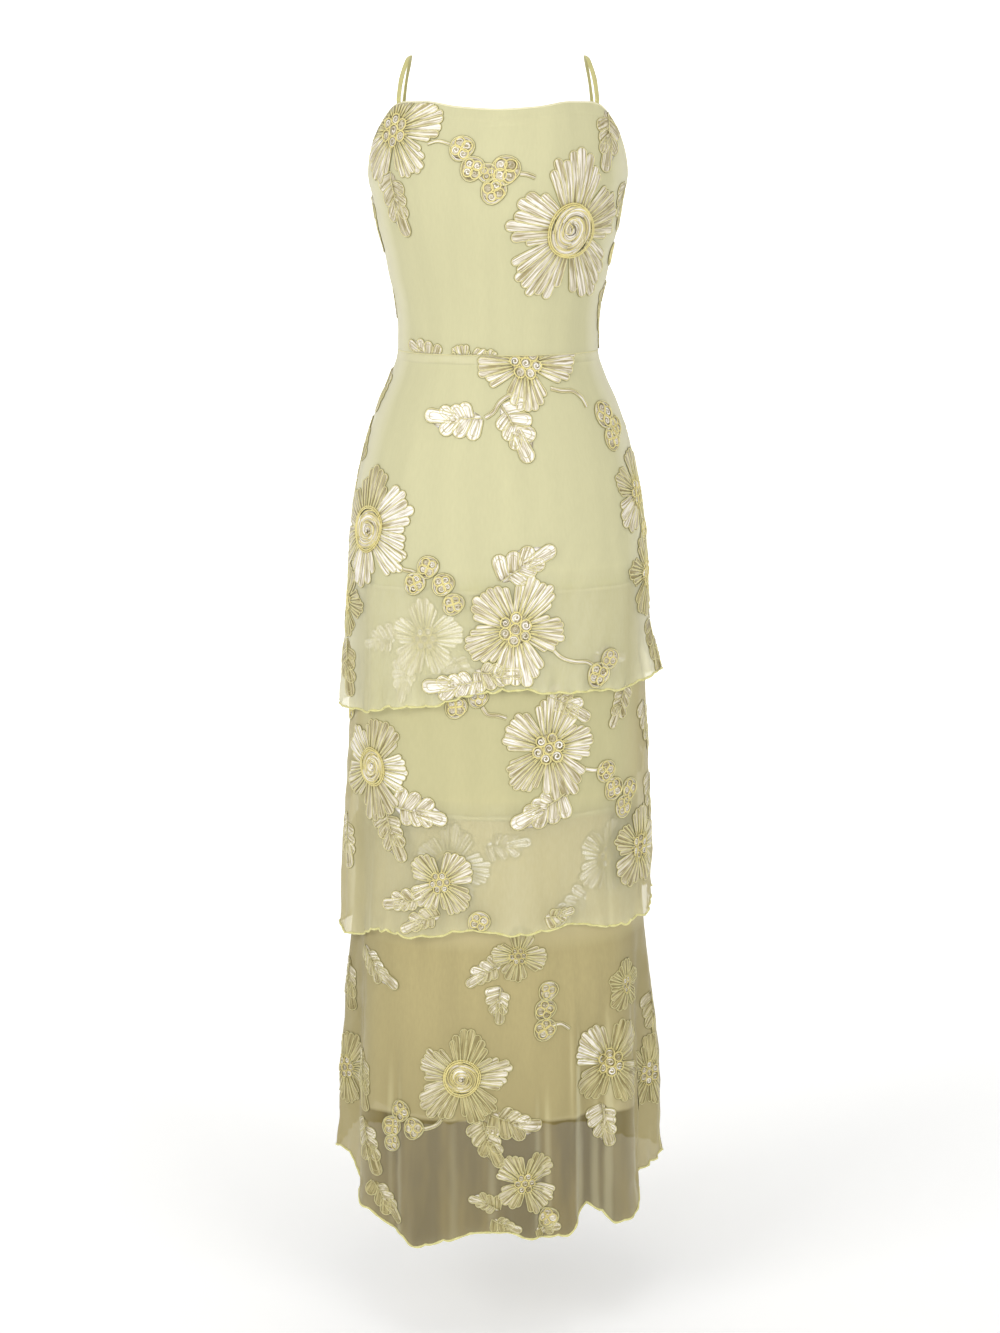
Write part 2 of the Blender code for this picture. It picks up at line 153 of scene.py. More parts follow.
# angle, half_spread, out, starts, full: the largest folds
FOLDS = {
    "slip": (),
    "bodice": (),
    "tier1": (
        (-84.0, 15.0, 0.0030, -0.560, -0.680),
        (-64.0, 11.0, -0.0040, -0.540, -0.680),
        (-38.0, 14.0, 0.0035, -0.580, -0.690),
        (-14.0, 11.0, -0.0018, -0.600, -0.680),
        (12.0, 13.0, 0.0026, -0.590, -0.680),
        (40.0, 13.0, -0.0018, -0.600, -0.680),
        (60.0, 10.0, -0.0030, -0.590, -0.670),
        (80.0, 14.0, 0.0075, -0.600, -0.675),
        (112.0, 16.0, -0.0030, -0.580, -0.680),
        (140.0, 14.0, 0.0040, -0.570, -0.690),
        (168.0, 14.0, -0.0030, -0.580, -0.690),
        (-160.0, 14.0, 0.0040, -0.570, -0.690),
        (-128.0, 15.0, -0.0030, -0.560, -0.680),
    ),
    "tier2": (
        (-84.0, 14.0, 0.0030, -0.760, -0.930),
        (-63.0, 10.0, -0.0055, -0.700, -0.900),
        (-40.0, 13.0, 0.0035, -0.780, -0.930),
        (-14.0, 12.0, -0.0025, -0.800, -0.930),
        (10.0, 12.0, 0.0030, -0.800, -0.930),
        (34.0, 12.0, -0.0030, -0.780, -0.930),
        (56.0, 11.0, 0.0030, -0.760, -0.930),
        (88.0, 15.0, -0.0060, -0.870, -0.930),
        (116.0, 15.0, 0.0045, -0.740, -0.930),
        (144.0, 14.0, -0.0045, -0.740, -0.930),
        (170.0, 14.0, 0.0045, -0.720, -0.930),
        (-152.0, 15.0, -0.0040, -0.740, -0.930),
        (-118.0, 15.0, 0.0050, -0.740, -0.930),
    ),
    "tier3": (
        (-102.0, 14.0, -0.0025, -0.940, -1.180),
        (-73.0, 12.0, -0.0150, -0.880, -1.150),
        (-55.0, 9.0, 0.0035, -0.900, -1.150),
        (-29.0, 13.0, 0.0065, -1.020, -1.280),
        (-8.0, 10.0, -0.0045, -1.040, -1.260),
        (9.0, 10.0, 0.0055, -1.020, -1.280),
        (24.0, 8.0, 0.0030, -1.000, -1.260),
        (37.0, 9.0, -0.0110, -1.020, -1.250),
        (54.0, 10.0, 0.0060, -0.900, -1.140),
        (73.0, 11.0, -0.0130, -0.900, -1.150),
        (96.0, 15.0, 0.0085, -0.930, -1.130),
        (122.0, 14.0, -0.0090, -0.940, -1.200),
        (143.0, 13.0, 0.0080, -0.920, -1.200),
        (165.0, 12.0, -0.0090, -0.940, -1.200),
        (-172.0, 13.0, 0.0070, -0.920, -1.200),
        (-148.0, 13.0, -0.0090, -0.940, -1.200),
        (-126.0, 13.0, 0.0060, -0.940, -1.200),
    ),
}

# angle, height of the top edge: neckline, armhole, back
NECKLINE_CORNER = 55.0
BACK_STRAP_ANGLE = 128.0
TOP_EDGE = (
    (0.0, -0.0550),
    (18.0, -0.0525),
    (36.0, -0.0470),
    (48.0, -0.0470),
    (NECKLINE_CORNER, -0.0495),
    (67.0, -0.0720),
    (77.0, -0.0965),
    (90.0, -0.1235),
    (108.0, -0.1345),
    (BACK_STRAP_ANGLE, -0.1380),
    (155.0, -0.1410),
    (180.0, -0.1430),
)

# angle, height of each flounce's hem
HEM = {
    "tier1": (
        (-180.0, -0.690), (-135.0, -0.694), (-100.0, -0.702), (-78.0, -0.703), (-58.0, -0.699),
        (-44.0, -0.689), (-28.0, -0.686), (-8.0, -0.668), (10.0, -0.665), (30.0, -0.670),
        (50.0, -0.672), (66.0, -0.668), (82.0, -0.664), (100.0, -0.672), (140.0, -0.686), (180.0, -0.690),
    ),
    "tier2": (
        (-180.0, -0.944), (-130.0, -0.952), (-92.0, -0.963), (-68.0, -0.959), (-48.0, -0.943),
        (-30.0, -0.943), (-10.0, -0.934), (10.0, -0.936), (30.0, -0.930), (50.0, -0.938),
        (70.0, -0.934), (90.0, -0.923), (120.0, -0.934), (180.0, -0.944),
    ),
    "tier3": (
        (-180.0, -1.258), (-140.0, -1.250), (-105.0, -1.226), (-82.0, -1.228), (-64.0, -1.262),
        (-46.0, -1.284), (-30.0, -1.300), (-14.0, -1.286), (2.0, -1.278), (14.0, -1.288),
        (26.0, -1.284), (37.0, -1.260), (50.0, -1.288), (62.0, -1.274), (78.0, -1.244),
        (100.0, -1.244), (140.0, -1.252), (180.0, -1.258),
    ),
}
TIER_TOP = {"tier1": WAIST_SEAM, "tier2": TIER2_SEAM, "tier3": TIER3_SEAM}
TIERS = ("tier1", "tier2", "tier3")

# the strap's middle line over the shoulder, for the +X side
STRAP_OVER_SHOULDER = (
    (0.1015, -0.0350, -0.0215),
    (0.0960, -0.0130, -0.0025),
    (0.0935, 0.0050, 0.0010),
    (0.0955, 0.0260, -0.0065),
    (0.1003, 0.0455, -0.0290),
    (0.1045, 0.0570, -0.0650),
    (0.1070, 0.0605, -0.1030),
)

# ---------------------------------------------------------------- what the CAD walls leave out
# Lettuce hems: waves round the hem, how far out and up they go, how high they reach, a phase.
LETTUCE_COLUMNS = ("waves", "out", "up", "reach", "phase")
LETTUCE = {
    "tier1": (23, 0.0046, 0.0042, 0.015, 0.7),
    "tier2": (22, 0.0048, 0.0038, 0.016, 2.9),
    "tier3": (19, 0.0066, 0.0046, 0.022, 4.4),
}

# Soft creases, drawn as short lines on the cloth: from one angle and height to another,
# with their half width and their depth (out > 0 is a ridge).
CREASE_COLUMNS = ("angle_a", "height_a", "angle_b", "height_b", "half_width", "out")
CREASES = {
    "bodice": (
        (-12.0, -0.0770, 36.0, -0.0640, 0.0070, -0.0007),
        (-6.0, -0.0700, 42.0, -0.0570, 0.0060, 0.0006),
        (52.0, -0.2560, 84.0, -0.2430, 0.0080, -0.0010),
        (46.0, -0.2720, 80.0, -0.2640, 0.0080, -0.0010),
        (-86.0, -0.2480, -58.0, -0.2610, 0.0080, -0.0010),
        (-84.0, -0.2730, -52.0, -0.2800, 0.0075, -0.0008),
        (-80.0, -0.1500, -66.0, -0.1900, 0.0090, -0.0008),
        (-16.0, -0.2960, 20.0, -0.2990, 0.0070, -0.0005),
        (118.0, -0.2550, 160.0, -0.2660, 0.0100, -0.0012),
        (-165.0, -0.2480, -120.0, -0.2620, 0.0100, -0.0012),
        (150.0, -0.2840, -168.0, -0.2800, 0.0090, -0.0010),
        (104.0, -0.1700, 126.0, -0.2150, 0.0100, -0.0008),
    ),
    "slip": (),
    "tier1": (
        (-78.0, -0.3300, -40.0, -0.3420, 0.0090, -0.0008),
        (36.0, -0.3360, 76.0, -0.3250, 0.0090, -0.0009),
        (-70.0, -0.3600, -52.0, -0.4400, 0.0120, 0.0007),
        (50.0, -0.4700, 58.0, -0.5900, 0.0130, 0.0010),
        (-34.0, -0.5900, -30.0, -0.6800, 0.0110, -0.0016),
        (-56.0, -0.5600, -52.0, -0.6950, 0.0110, 0.0018),
        (24.0, -0.6050, 22.0, -0.6650, 0.0100, -0.0012),
        (68.0, -0.6150, 70.0, -0.6680, 0.0070, -0.0030),
        (84.0, -0.6080, 85.0, -0.6640, 0.0070, 0.0035),
        (94.0, -0.6050, 97.0, -0.6700, 0.0090, -0.0040),
        (128.0, -0.5400, 126.0, -0.6900, 0.0120, 0.0016),
        (-142.0, -0.5400, -144.0, -0.6900, 0.0120, -0.0016),
        (176.0, -0.3600, -178.0, -0.6400, 0.0130, -0.0009),
    ),
    "tier2": (
        (-74.0, -0.7000, -72.0, -0.9600, 0.0110, 0.0020),
        (-50.0, -0.7600, -53.0, -0.9450, 0.0110, 0.0016),
        (-26.0, -0.8200, -27.0, -0.9400, 0.0110, -0.0016),
        (0.0, -0.8600, -2.0, -0.9350, 0.0100, 0.0012),
        (22.0, -0.8300, 22.0, -0.9320, 0.0110, 0.0014),
        (44.0, -0.8100, 45.0, -0.9360, 0.0100, -0.0018),
        (68.0, -0.7700, 70.0, -0.9350, 0.0110, 0.0020),
        (102.0, -0.7600, 101.0, -0.9250, 0.0120, -0.0020),
        (130.0, -0.7600, 131.0, -0.9380, 0.0120, 0.0018),
        (158.0, -0.7400, 157.0, -0.9420, 0.0120, -0.0018),
        (-134.0, -0.7500, -135.0, -0.9500, 0.0120, 0.0020),
        (-104.0, -0.7600, -102.0, -0.9580, 0.0120, -0.0018),
    ),
    "tier3": (
        (-88.0, -0.9200, -86.0, -1.2200, 0.0110, 0.0022),
        (-64.0, -0.9400, -63.0, -1.2500, 0.0085, -0.0024),
        (-43.0, -1.0200, -42.0, -1.2800, 0.0100, -0.0030),
        (-20.0, -1.0500, -19.0, -1.2850, 0.0110, 0.0022),
        (0.0, -1.0800, 0.0, -1.2750, 0.0100, 0.0020),
        (17.0, -1.0600, 17.0, -1.2800, 0.0085, -0.0024),
        (31.0, -0.9600, 30.0, -1.2700, 0.0070, 0.0030),
        (45.0, -0.9800, 44.0, -1.2700, 0.0080, -0.0024),
        (63.0, -0.9400, 62.0, -1.2650, 0.0080, -0.0026),
        (84.0, -0.9600, 85.0, -1.2300, 0.0100, 0.0030),
        (109.0, -0.9600, 108.0, -1.2350, 0.0110, 0.0028),
        (132.0, -0.9600, 133.0, -1.2400, 0.0110, 0.0030),
        (154.0, -0.9500, 154.0, -1.2450, 0.0110, -0.0028),
        (177.0, -0.9500, 176.0, -1.2500, 0.0110, 0.0028),
        (-160.0, -0.9600, -160.0, -1.2450, 0.0110, -0.0030),
        (-137.0, -0.9600, -136.0, -1.2350, 0.0110, 0.0028),
        (-114.0, -0.9600, -113.0, -1.2200, 0.0110, 0.0026),
    ),
}
NECK_TURNING = 0.0115       # width of the turned edge at neck and armholes
TURNING_STEP = 0.00040


# ================================================================ reading the tables, for many points at once
class Smooth:
    """A smooth curve through a table's rows that never overshoots."""

    def __init__(self, rows):
        rows = sorted(rows, key=lambda row: row[0])
        self.at = np.array([row[0] for row in rows], float)
        self.value = np.array([row[1:] for row in rows], float)
        rise = np.diff(self.value, axis=0) / np.diff(self.at)[:, None]
        self.slope = np.zeros_like(self.value)
        before, after = rise[:-1], rise[1:]
        same = before * after > 0
        self.slope[1:-1] = np.where(same, 2 * before * after / np.where(same, before + after, 1.0), 0.0)

    def __call__(self, x):
        x = np.clip(np.asarray(x, float), self.at[0], self.at[-1])
        i = np.clip(np.searchsorted(self.at, x, side="right") - 1, 0, len(self.at) - 2)
        step = self.at[i + 1] - self.at[i]
        t = ((x - self.at[i]) / step)[..., None]
        step = step[..., None]
        return (
            (2 * t**3 - 3 * t**2 + 1) * self.value[i] + (t**3 - 2 * t**2 + t) * self.slope[i] * step
            + (-2 * t**3 + 3 * t**2) * self.value[i + 1] + (t**3 - t**2) * self.slope[i + 1] * step
        )


SECTION = Smooth(SECTIONS)
EASE_AT = {layer: Smooth(rows) for layer, rows in EASE.items()}
HEM_AT = {layer: Smooth(rows) for layer, rows in HEM.items()}
TOP_AT = Smooth(TOP_EDGE)


def soft_step(t):
    t = np.clip(t, 0.0, 1.0)
    return t * t * (3 - 2 * t)


def turn_between(angle, other):
    return (np.asarray(angle, float) - other + 180.0) % 360.0 - 180.0


def top_edge(angle):
    return TOP_AT(np.abs(turn_between(angle, 0.0)))[..., 0]


def slip_hem(angle):
    return LINING_HEM + LINING_HEM_DIP * np.maximum(0.0, np.cos(np.radians(angle)))


def lettuce(layer, angle):
    """How far out and up the hem's waves go at an angle."""
    waves, out, up, _, phase = LETTUCE[layer]
    t = np.radians(angle)
    turn = waves * t + 1.5 * np.sin(3 * t + phase) + 1.0 * np.sin(7 * t + 2.1 * phase) + 0.5 * np.sin(11 * t + phase)
    strength = 0.60 + 0.40 * np.sin(2 * t + phase) * np.sin(5 * t + 1.7 * phase)
    small = np.sin((2 * waves + 9) * t + 2.0 * phase + 0.9 * np.sin(4 * t))
    slow = np.sin(9 * t + 1.3 * phase + 0.8 * np.sin(2 * t))
    return (
        out * (strength * (0.42 + 0.58 * np.sin(turn)) + 0.20 * small),
        up * (-strength * (np.abs(np.sin(turn)) ** 0.8 - 0.62) + 0.16 * small + 0.26 * slow),
    )


def hem_line(layer, angle):
    if layer == "slip":
        return slip_hem(angle)
    return HEM_AT[layer](turn_between(angle, 0.0))[..., 0] + lettuce(layer, angle)[1]


def slip_ring(angle, height):
    """Points of the slip's outer face, and the level outward directions there."""
    angle, height = np.broadcast_arrays(np.asarray(angle, float), np.asarray(height, float))
    half_width, front, back, widest = np.moveaxis(SECTION(height), -1, 0)
    s, c = np.sin(np.radians(angle)), np.cos(np.radians(angle))
    depth = np.where(c > 0, front + widest, back - widest)
    point = np.stack([half_width * s, widest - depth * c, height], -1)
    out = np.stack([s / half_width, -c / depth, np.zeros_like(s)], -1)
    return point, out / np.linalg.norm(out, axis=-1, keepdims=True)


def stand_off(layer, angle, height):
    angle, height = np.broadcast_arrays(np.asarray(angle, float), np.asarray(height, float))
    if layer == "slip":
        return np.zeros_like(height)
    front, side, back = np.moveaxis(EASE_AT[layer](height), -1, 0)
    s, c = np.sin(np.radians(angle)), np.cos(np.radians(angle))
    off = np.where(c > 0, front, back) * c * c + side * s * s
    for fold_angle, half_spread, out, starts, full in FOLDS[layer]:
        turn = np.abs(turn_between(angle, fold_angle))
        ramp = soft_step((starts - height) / (starts - full))
        off = off + out * ramp * np.where(turn < half_spread, np.cos(np.pi / 2 * turn / half_spread) ** 2, 0.0)
    return np.maximum(off, CLOSE)


def crease(layer, angle, height):
    """The soft creases' sum at each point."""
    total = np.zeros_like(height)
    for angle_a, height_a, angle_b, height_b, half_width, out in CREASES[layer]:
        radius = 0.135
        u = np.radians(turn_between(angle, angle_a)) * radius
        v = height - height_a
        du = math.radians(float(turn_between(angle_b, angle_a))) * radius
        dv = height_b - height_a
        length2 = du * du + dv * dv
        along = (u * du + v * dv) / length2
        beside = np.abs(u * dv - v * du) / math.sqrt(length2)
        across = np.where(beside < half_width, np.cos(np.pi / 2 * np.minimum(beside / half_width, 1.0)) ** 2, 0.0)
        ends = soft_step(along / 0.22) * soft_step((1.0 - along) / 0.22)
        if abs(dv) > 0.05 and layer in TIERS and height_b < -0.6:      # runs out over the hem
            ends = soft_step(along / 0.5) * soft_step((1.35 - along) / 0.2)
        total = total + out * across * ends
    return total


def detail(layer, angle, height):
    """What the looks add to the CAD's form: lettuce waves, creases and the turned top edge."""
    off = crease(layer, angle, height)
    if layer in TIERS:
        above = np.maximum(height - hem_line(layer, angle), 0.0)
        off = off + lettuce(layer, angle)[0] * np.exp(-((above / LETTUCE[layer][3]) ** 1.25))
    t = np.radians(angle)
    off = off + 0.00028 * np.sin(6 * t + 31 * height) * np.sin(2 * t - 17 * height + 1.0)
    if layer in TIERS:
        low = soft_step((TIER_TOP[layer] - 0.03 - height) / 0.22)
        off = off + low * (
            0.00055 * np.sin(13 * t + 95 * height + 2.0 * np.sin(5 * t)) * np.sin(7 * t - 60 * height + 1.7)
            + 0.00035 * np.sin(29 * t - 140 * height + 1.5 * np.sin(8 * t + 30 * height))
        )
    if layer in ("bodice", "slip"):
        below = top_edge(angle) - height
        off = off + TURNING_STEP * soft_step((NECK_TURNING + 0.0012 - below) / 0.0024)
    return off


def cloth(layer, angle, height, lift=0.0):
    angle, height = np.broadcast_arrays(np.asarray(angle, float), np.asarray(height, float))
    point, out = slip_ring(angle, height)
    off = stand_off(layer, angle, height) + detail(layer, angle, height)
    if layer in TIERS:                      # never into the layer under it
        off = np.maximum(off, CLOSE - 0.0003)
    return point + out * (off + lift)[..., None]


def facing(layer, angle, height):
    """Outward normals of a layer's outer face."""
    round_it = cloth(layer, angle + 0.3, height) - cloth(layer, angle - 0.3, height)
    up = cloth(layer, angle, height + 0.0012) - cloth(layer, angle, height - 0.0012)
    normal = np.cross(round_it, up)
    return normal / np.linalg.norm(normal, axis=-1, keepdims=True)


# ================================================================ materials
UV_RADIUS = 0.15            # a panel's UVs: its angle in radians times this, and its height, in metres


class Nodes:
    """Short ways to make and join a material's nodes."""

    def __init__(self, name):
        self.material = bpy.data.materials.new(name)
        self.material.use_nodes = True
        self.tree = self.material.node_tree
        self.shader = self.tree.nodes["Principled BSDF"]

    def add(self, kind, **values):
        node = self.tree.nodes.new(kind)
        for key, value in values.items():
            setattr(node, key, value)
        return node

    def join(self, a, b):
        self.tree.links.new(a, b)

    def uv(self, scale=(1.0, 1.0, 1.0), turn=0.0):
        coordinates = self.add("ShaderNodeTexCoord")
        mapping = self.add("ShaderNodeMapping")
        mapping.inputs["Scale"].default_value = scale
        mapping.inputs["Rotation"].default_value = (0.0, 0.0, math.radians(turn))
        self.join(coordinates.outputs["UV"], mapping.inputs["Vector"])
        return mapping.outputs["Vector"]

    def noise(self, vector, scale, detail=2.0, roughness=0.5):
        node = self.add("ShaderNodeTexNoise")
        node.inputs["Scale"].default_value = scale
        node.inputs["Detail"].default_value = detail
        node.inputs["Roughness"].default_value = roughness
        self.join(vector, node.inputs["Vector"])
        return node.outputs["Fac"]

    def wave(self, vector, period, direction="X", distortion=0.0):
        node = self.add("ShaderNodeTexWave", wave_type="BANDS", bands_direction=direction, wave_profile="SIN")
        node.inputs["Scale"].default_value = 0.31416 / period
        node.inputs["Distortion"].default_value = distortion
        self.join(vector, node.inputs["Vector"])
        return node.outputs["Fac"]

    def math(self, operation, a, b):
        node = self.add("ShaderNodeMath", operation=operation)
        for socket, value in zip(node.inputs, (a, b)):
            if isinstance(value, (int, float)):
                socket.default_value = value
            else:
                self.join(value, socket)
        return node.outputs[0]

    def spread(self, value, low, high, to_low, to_high):
        node = self.add("ShaderNodeMapRange", clamp=True)
        self.join(value, node.inputs["Value"])
        for key, number in (("From Min", low), ("From Max", high), ("To Min", to_low), ("To Max", to_high)):
            node.inputs[key].default_value = number
        return node.outputs[0]

    def mix(self, share, a, b):
        node = self.add("ShaderNodeMix", data_type="RGBA")
        for socket, value in ((node.inputs[0], share), (node.inputs[6], a), (node.inputs[7], b)):
            if isinstance(value, (int, float, tuple)):
                socket.default_value = value if not isinstance(value, tuple) else (*value, 1.0)
            else:
                self.join(value, socket)
        return node.outputs[2]

    def colour(self, value):
        self.join(value, self.shader.inputs["Base Color"])

    def bump(self, height, distance, strength=1.0):
        node = self.add("ShaderNodeBump")
        node.inputs["Strength"].default_value = strength
        node.inputs["Distance"].default_value = distance
        self.join(height, node.inputs["Height"])
        self.join(node.outputs["Normal"], self.shader.inputs["Normal"])

    def set(self, **numbers):
        for key, value in numbers.items():
            self.shader.inputs[key.replace("_", " ")].default_value = value


def mesh_cloth_material(name, base, deep, alpha, sides, edge, ridge, low=None, low_alpha=0.0, inner=0.80, outer=0.97, high=None,
                        close=None, close_above=0.0, seam_band=None):
    """Sheer fine net, denser towards the side seams, as if more gathered there, and on the folds' flanks: a veil with a
    fine knitted ground. Its colour holds painted light: a paler sheen on the folds' flanks, and shade at the lower
    flounces' sides and towards and below the slip's hem.
    """
    n = Nodes(name)
    uv = n.uv()
    broad = n.noise(n.uv((1.0, 0.16, 1.0)), 26.0, 3.0)
    fine = n.noise(n.uv((1.0, 0.25, 1.0)), 420.0, 2.0)
    share = n.math("ADD", n.math("MULTIPLY", broad, 0.68), n.math("MULTIPLY", fine, 0.32))
    parts = n.add("ShaderNodeSeparateXYZ")
    n.join(uv, parts.inputs[0])
    sideways = n.math("ABSOLUTE", n.math("SINE", n.math("MULTIPLY", parts.outputs["X"], 1 / UV_RADIUS), 0.0), 0.0)
    gathered = n.spread(sideways, inner, outer, 0.0, 1.0)
    flank = n.add("ShaderNodeAttribute", attribute_name="flank", attribute_type="GEOMETRY").outputs["Fac"]
    flank = n.math("MULTIPLY", flank, n.spread(gathered, 0.0, 1.0, 1.0, 0.15))
    colour = n.mix(n.spread(share, 0.36, 0.64, 0.0, 1.0), deep, base)
    density = n.math("ADD", n.spread(gathered, 0.0, 1.0, alpha, sides), n.math("MULTIPLY", flank, 0.24))
    height = parts.outputs["Y"]
    if low:                     # heights below follow the slip's hem, which is higher at the centre front
        forward = n.math("COSINE", n.math("MULTIPLY", parts.outputs["X"], 1 / UV_RADIUS), 0.0)
        height = n.math("ADD", height, n.spread(forward, 0.0, 1.0, LINING_HEM_DIP, 0.0))
    if close:                   # cloth that lies close on the slip shows little of what is under it
        blend = 0.002 if low else 0.012
        near = n.spread(height, close_above - blend, close_above + blend, 0.0, 1.0)
        if seam_band:           # where a seam's turnings lie under the net and show through it
            band = n.math("MULTIPLY", n.spread(parts.outputs["Y"], seam_band[0] - 0.0010, seam_band[0] + 0.0005, 0.0, 1.0),
                          n.spread(parts.outputs["Y"], seam_band[1] - 0.0005, seam_band[1] + 0.0010, 1.0, 0.0))
            near = n.math("MULTIPLY", near, n.spread(band, 0.0, 1.0, 1.0, 0.45))
        near = n.math("MULTIPLY", near, n.spread(gathered, 0.0, 1.0, 1.0, 0.0))
        lying = n.mix(n.spread(share, 0.36, 0.64, 0.0, 1.0), tuple((0.86 if low else 0.93) * c for c in close), close)
        if low:                 # a little deeper towards the slip's hem
            # painted shade: the close-lying cloth darker towards the slip's hem
            lying = n.mix(n.spread(parts.outputs["Y"], -1.15, -1.00, 0.75, 0.0), lying, tuple(0.80 * c for c in close))
        colour = n.mix(near, colour, lying)
        density = n.math("ADD", density, n.math("MULTIPLY", near, 0.80 - alpha))
    if low:                     # the bare cloth below the slip, dense and dark: painted shade of the skirt's dark inside
        below = n.spread(height, -1.1535, -1.1495, 1.0, 0.0)
        colour = n.mix(below, colour, n.mix(n.spread(broad, 0.46, 0.62, 0.0, 1.0), low, tuple(1.45 * c for c in low)))
        density = n.math("ADD", density, n.math("MULTIPLY", below, low_alpha - alpha))
    # towards the side seams the colour goes to edge: on the middle and low flounces that is much darker, painted shade
    # where the dress turns away
    colour = n.mix(gathered, colour, edge)
    if high:                    # lighter and even where another flounce covers it: less of the low flounce's painted shade there
        covered = n.spread(parts.outputs["Y"], -0.962, -0.930, 0.0, 1.0)
        colour = n.mix(covered, colour, high)
    if low:
        flank = n.math("MULTIPLY", flank, n.spread(below, 0.0, 1.0, 1.0, 0.45))
    # the folds' flanks take the paler ridge colour: a painted sheen along the folds
    n.colour(n.mix(n.math("MULTIPLY", flank, 0.75), colour, ridge))
    n.join(n.spread(density, 0.0, 0.92, 0.0, 0.92), n.shader.inputs["Alpha"])
    one, two = n.wave(n.uv(turn=33.0), 0.0011), n.wave(n.uv(turn=-33.0), 0.0011)
    n.bump(n.math("ADD", n.math("ADD", one, two), n.math("MULTIPLY", fine, 0.8)), 0.00009, 0.6)
    n.set(Roughness=0.78, Sheen_Weight=0.22, Sheen_Roughness=0.45, Specular_IOR_Level=0.25)
    return n.material


def lining_material(name, base=(0.585, 0.555, 0.268), deep=(0.545, 0.515, 0.238), painted_hem_shade=True):
    """Opaque jersey: fine vertical wales, soft and matt; the slip's skirt is painted a little browner and darker
    towards its hem, painted shade.
    """
    n = Nodes(name)
    uv = n.uv()
    broad = n.noise(uv, 9.0, 3.0)
    fine = n.noise(n.uv((1.0, 0.2, 1.0)), 500.0, 2.0)
    share = n.math("ADD", n.math("MULTIPLY", broad, 0.7), n.math("MULTIPLY", fine, 0.3))
    colour = n.mix(n.spread(share, 0.36, 0.64, 0.0, 1.0), deep, base)
    if painted_hem_shade:
        parts = n.add("ShaderNodeSeparateXYZ")
        n.join(uv, parts.inputs[0])
        # painted shade: the skirt darker and browner from below the first flounce down to its hem
        colour = n.mix(n.spread(parts.outputs["Y"], -1.12, -0.55, 1.0, 0.0), colour, (0.500, 0.420, 0.175))
    n.colour(colour)
    n.bump(n.math("ADD", n.wave(uv, 0.0009), n.math("MULTIPLY", fine, 0.7)), 0.00008, 0.5)
    n.set(Roughness=0.82, Sheen_Weight=0.18, Sheen_Roughness=0.5, Specular_IOR_Level=0.25)
    return n.material


def satin_material(name):
    """Satin tape: long fine creases; white, cream or yellow-green by the piece's own tone (-1 to 1)."""
    n = Nodes(name)
    tone = n.add("ShaderNodeAttribute", attribute_name="tone", attribute_type="GEOMETRY").outputs["Fac"]
    streak = n.noise(n.uv((1.0, 0.05, 1.0)), 520.0, 2.5, 0.62)
    pucker = n.noise(n.uv((1.0, 0.5, 1.0)), 330.0, 2.0)
    cream = n.mix(n.spread(streak, 0.42, 0.57, 0.0, 1.0), (0.425, 0.355, 0.178), (0.955, 0.905, 0.840))
    green = n.mix(n.spread(streak, 0.42, 0.60, 0.0, 1.0), (0.215, 0.170, 0.052), (0.50, 0.430, 0.195))
    white = n.mix(n.spread(streak, 0.36, 0.50, 0.0, 1.0), (0.70, 0.640, 0.460), (0.985, 0.965, 0.930))
    cream = n.mix(n.spread(tone, -0.40, 0.0, 1.0, 0.0), cream, white)
    n.colour(n.mix(n.spread(tone, 0.0, 1.0, 0.0, 1.0), cream, green))
    n.bump(n.math("ADD", streak, n.math("MULTIPLY", pucker, 0.7)), 0.00045, 0.7)
    n.set(Roughness=0.36, Sheen_Weight=0.10, Sheen_Roughness=0.3, Specular_IOR_Level=0.55)
    return n.material


def thread_material(name, dark, light, roughness=0.5, shade=None, gold=None):
    """Twisted lustrous thread, deeper where the piece's own tone says that it lies in the shade; gold from -1 down."""
    n = Nodes(name)
    twist = n.wave(n.uv(turn=28.0), 0.0009, "Y")
    wander = n.noise(n.uv(), 160.0, 2.0)
    share = n.math("ADD", n.math("MULTIPLY", twist, 0.45), n.math("MULTIPLY", wander, 0.55))
    colour = n.mix(n.spread(share, 0.25, 0.75, 0.0, 1.0), dark, light)
    if shade:
        tone = n.add("ShaderNodeAttribute", attribute_name="tone", attribute_type="GEOMETRY").outputs["Fac"]
        colour = n.mix(tone, colour, shade)
    if gold:
        bright = n.mix(n.spread(share, 0.25, 0.75, 0.0, 1.0), gold[0], gold[1])
        bright = n.mix(n.spread(tone, -2.0, -1.0, 1.0, 0.0), bright, gold[2])
        colour = n.mix(n.spread(tone, -0.9, -0.1, 1.0, 0.0), colour, bright)
    n.colour(colour)
    n.bump(twist, 0.00018, 0.8)
    n.set(Roughness=roughness, Sheen_Weight=0.12, Sheen_Roughness=0.4, Specular_IOR_Level=0.45)
    return n.material


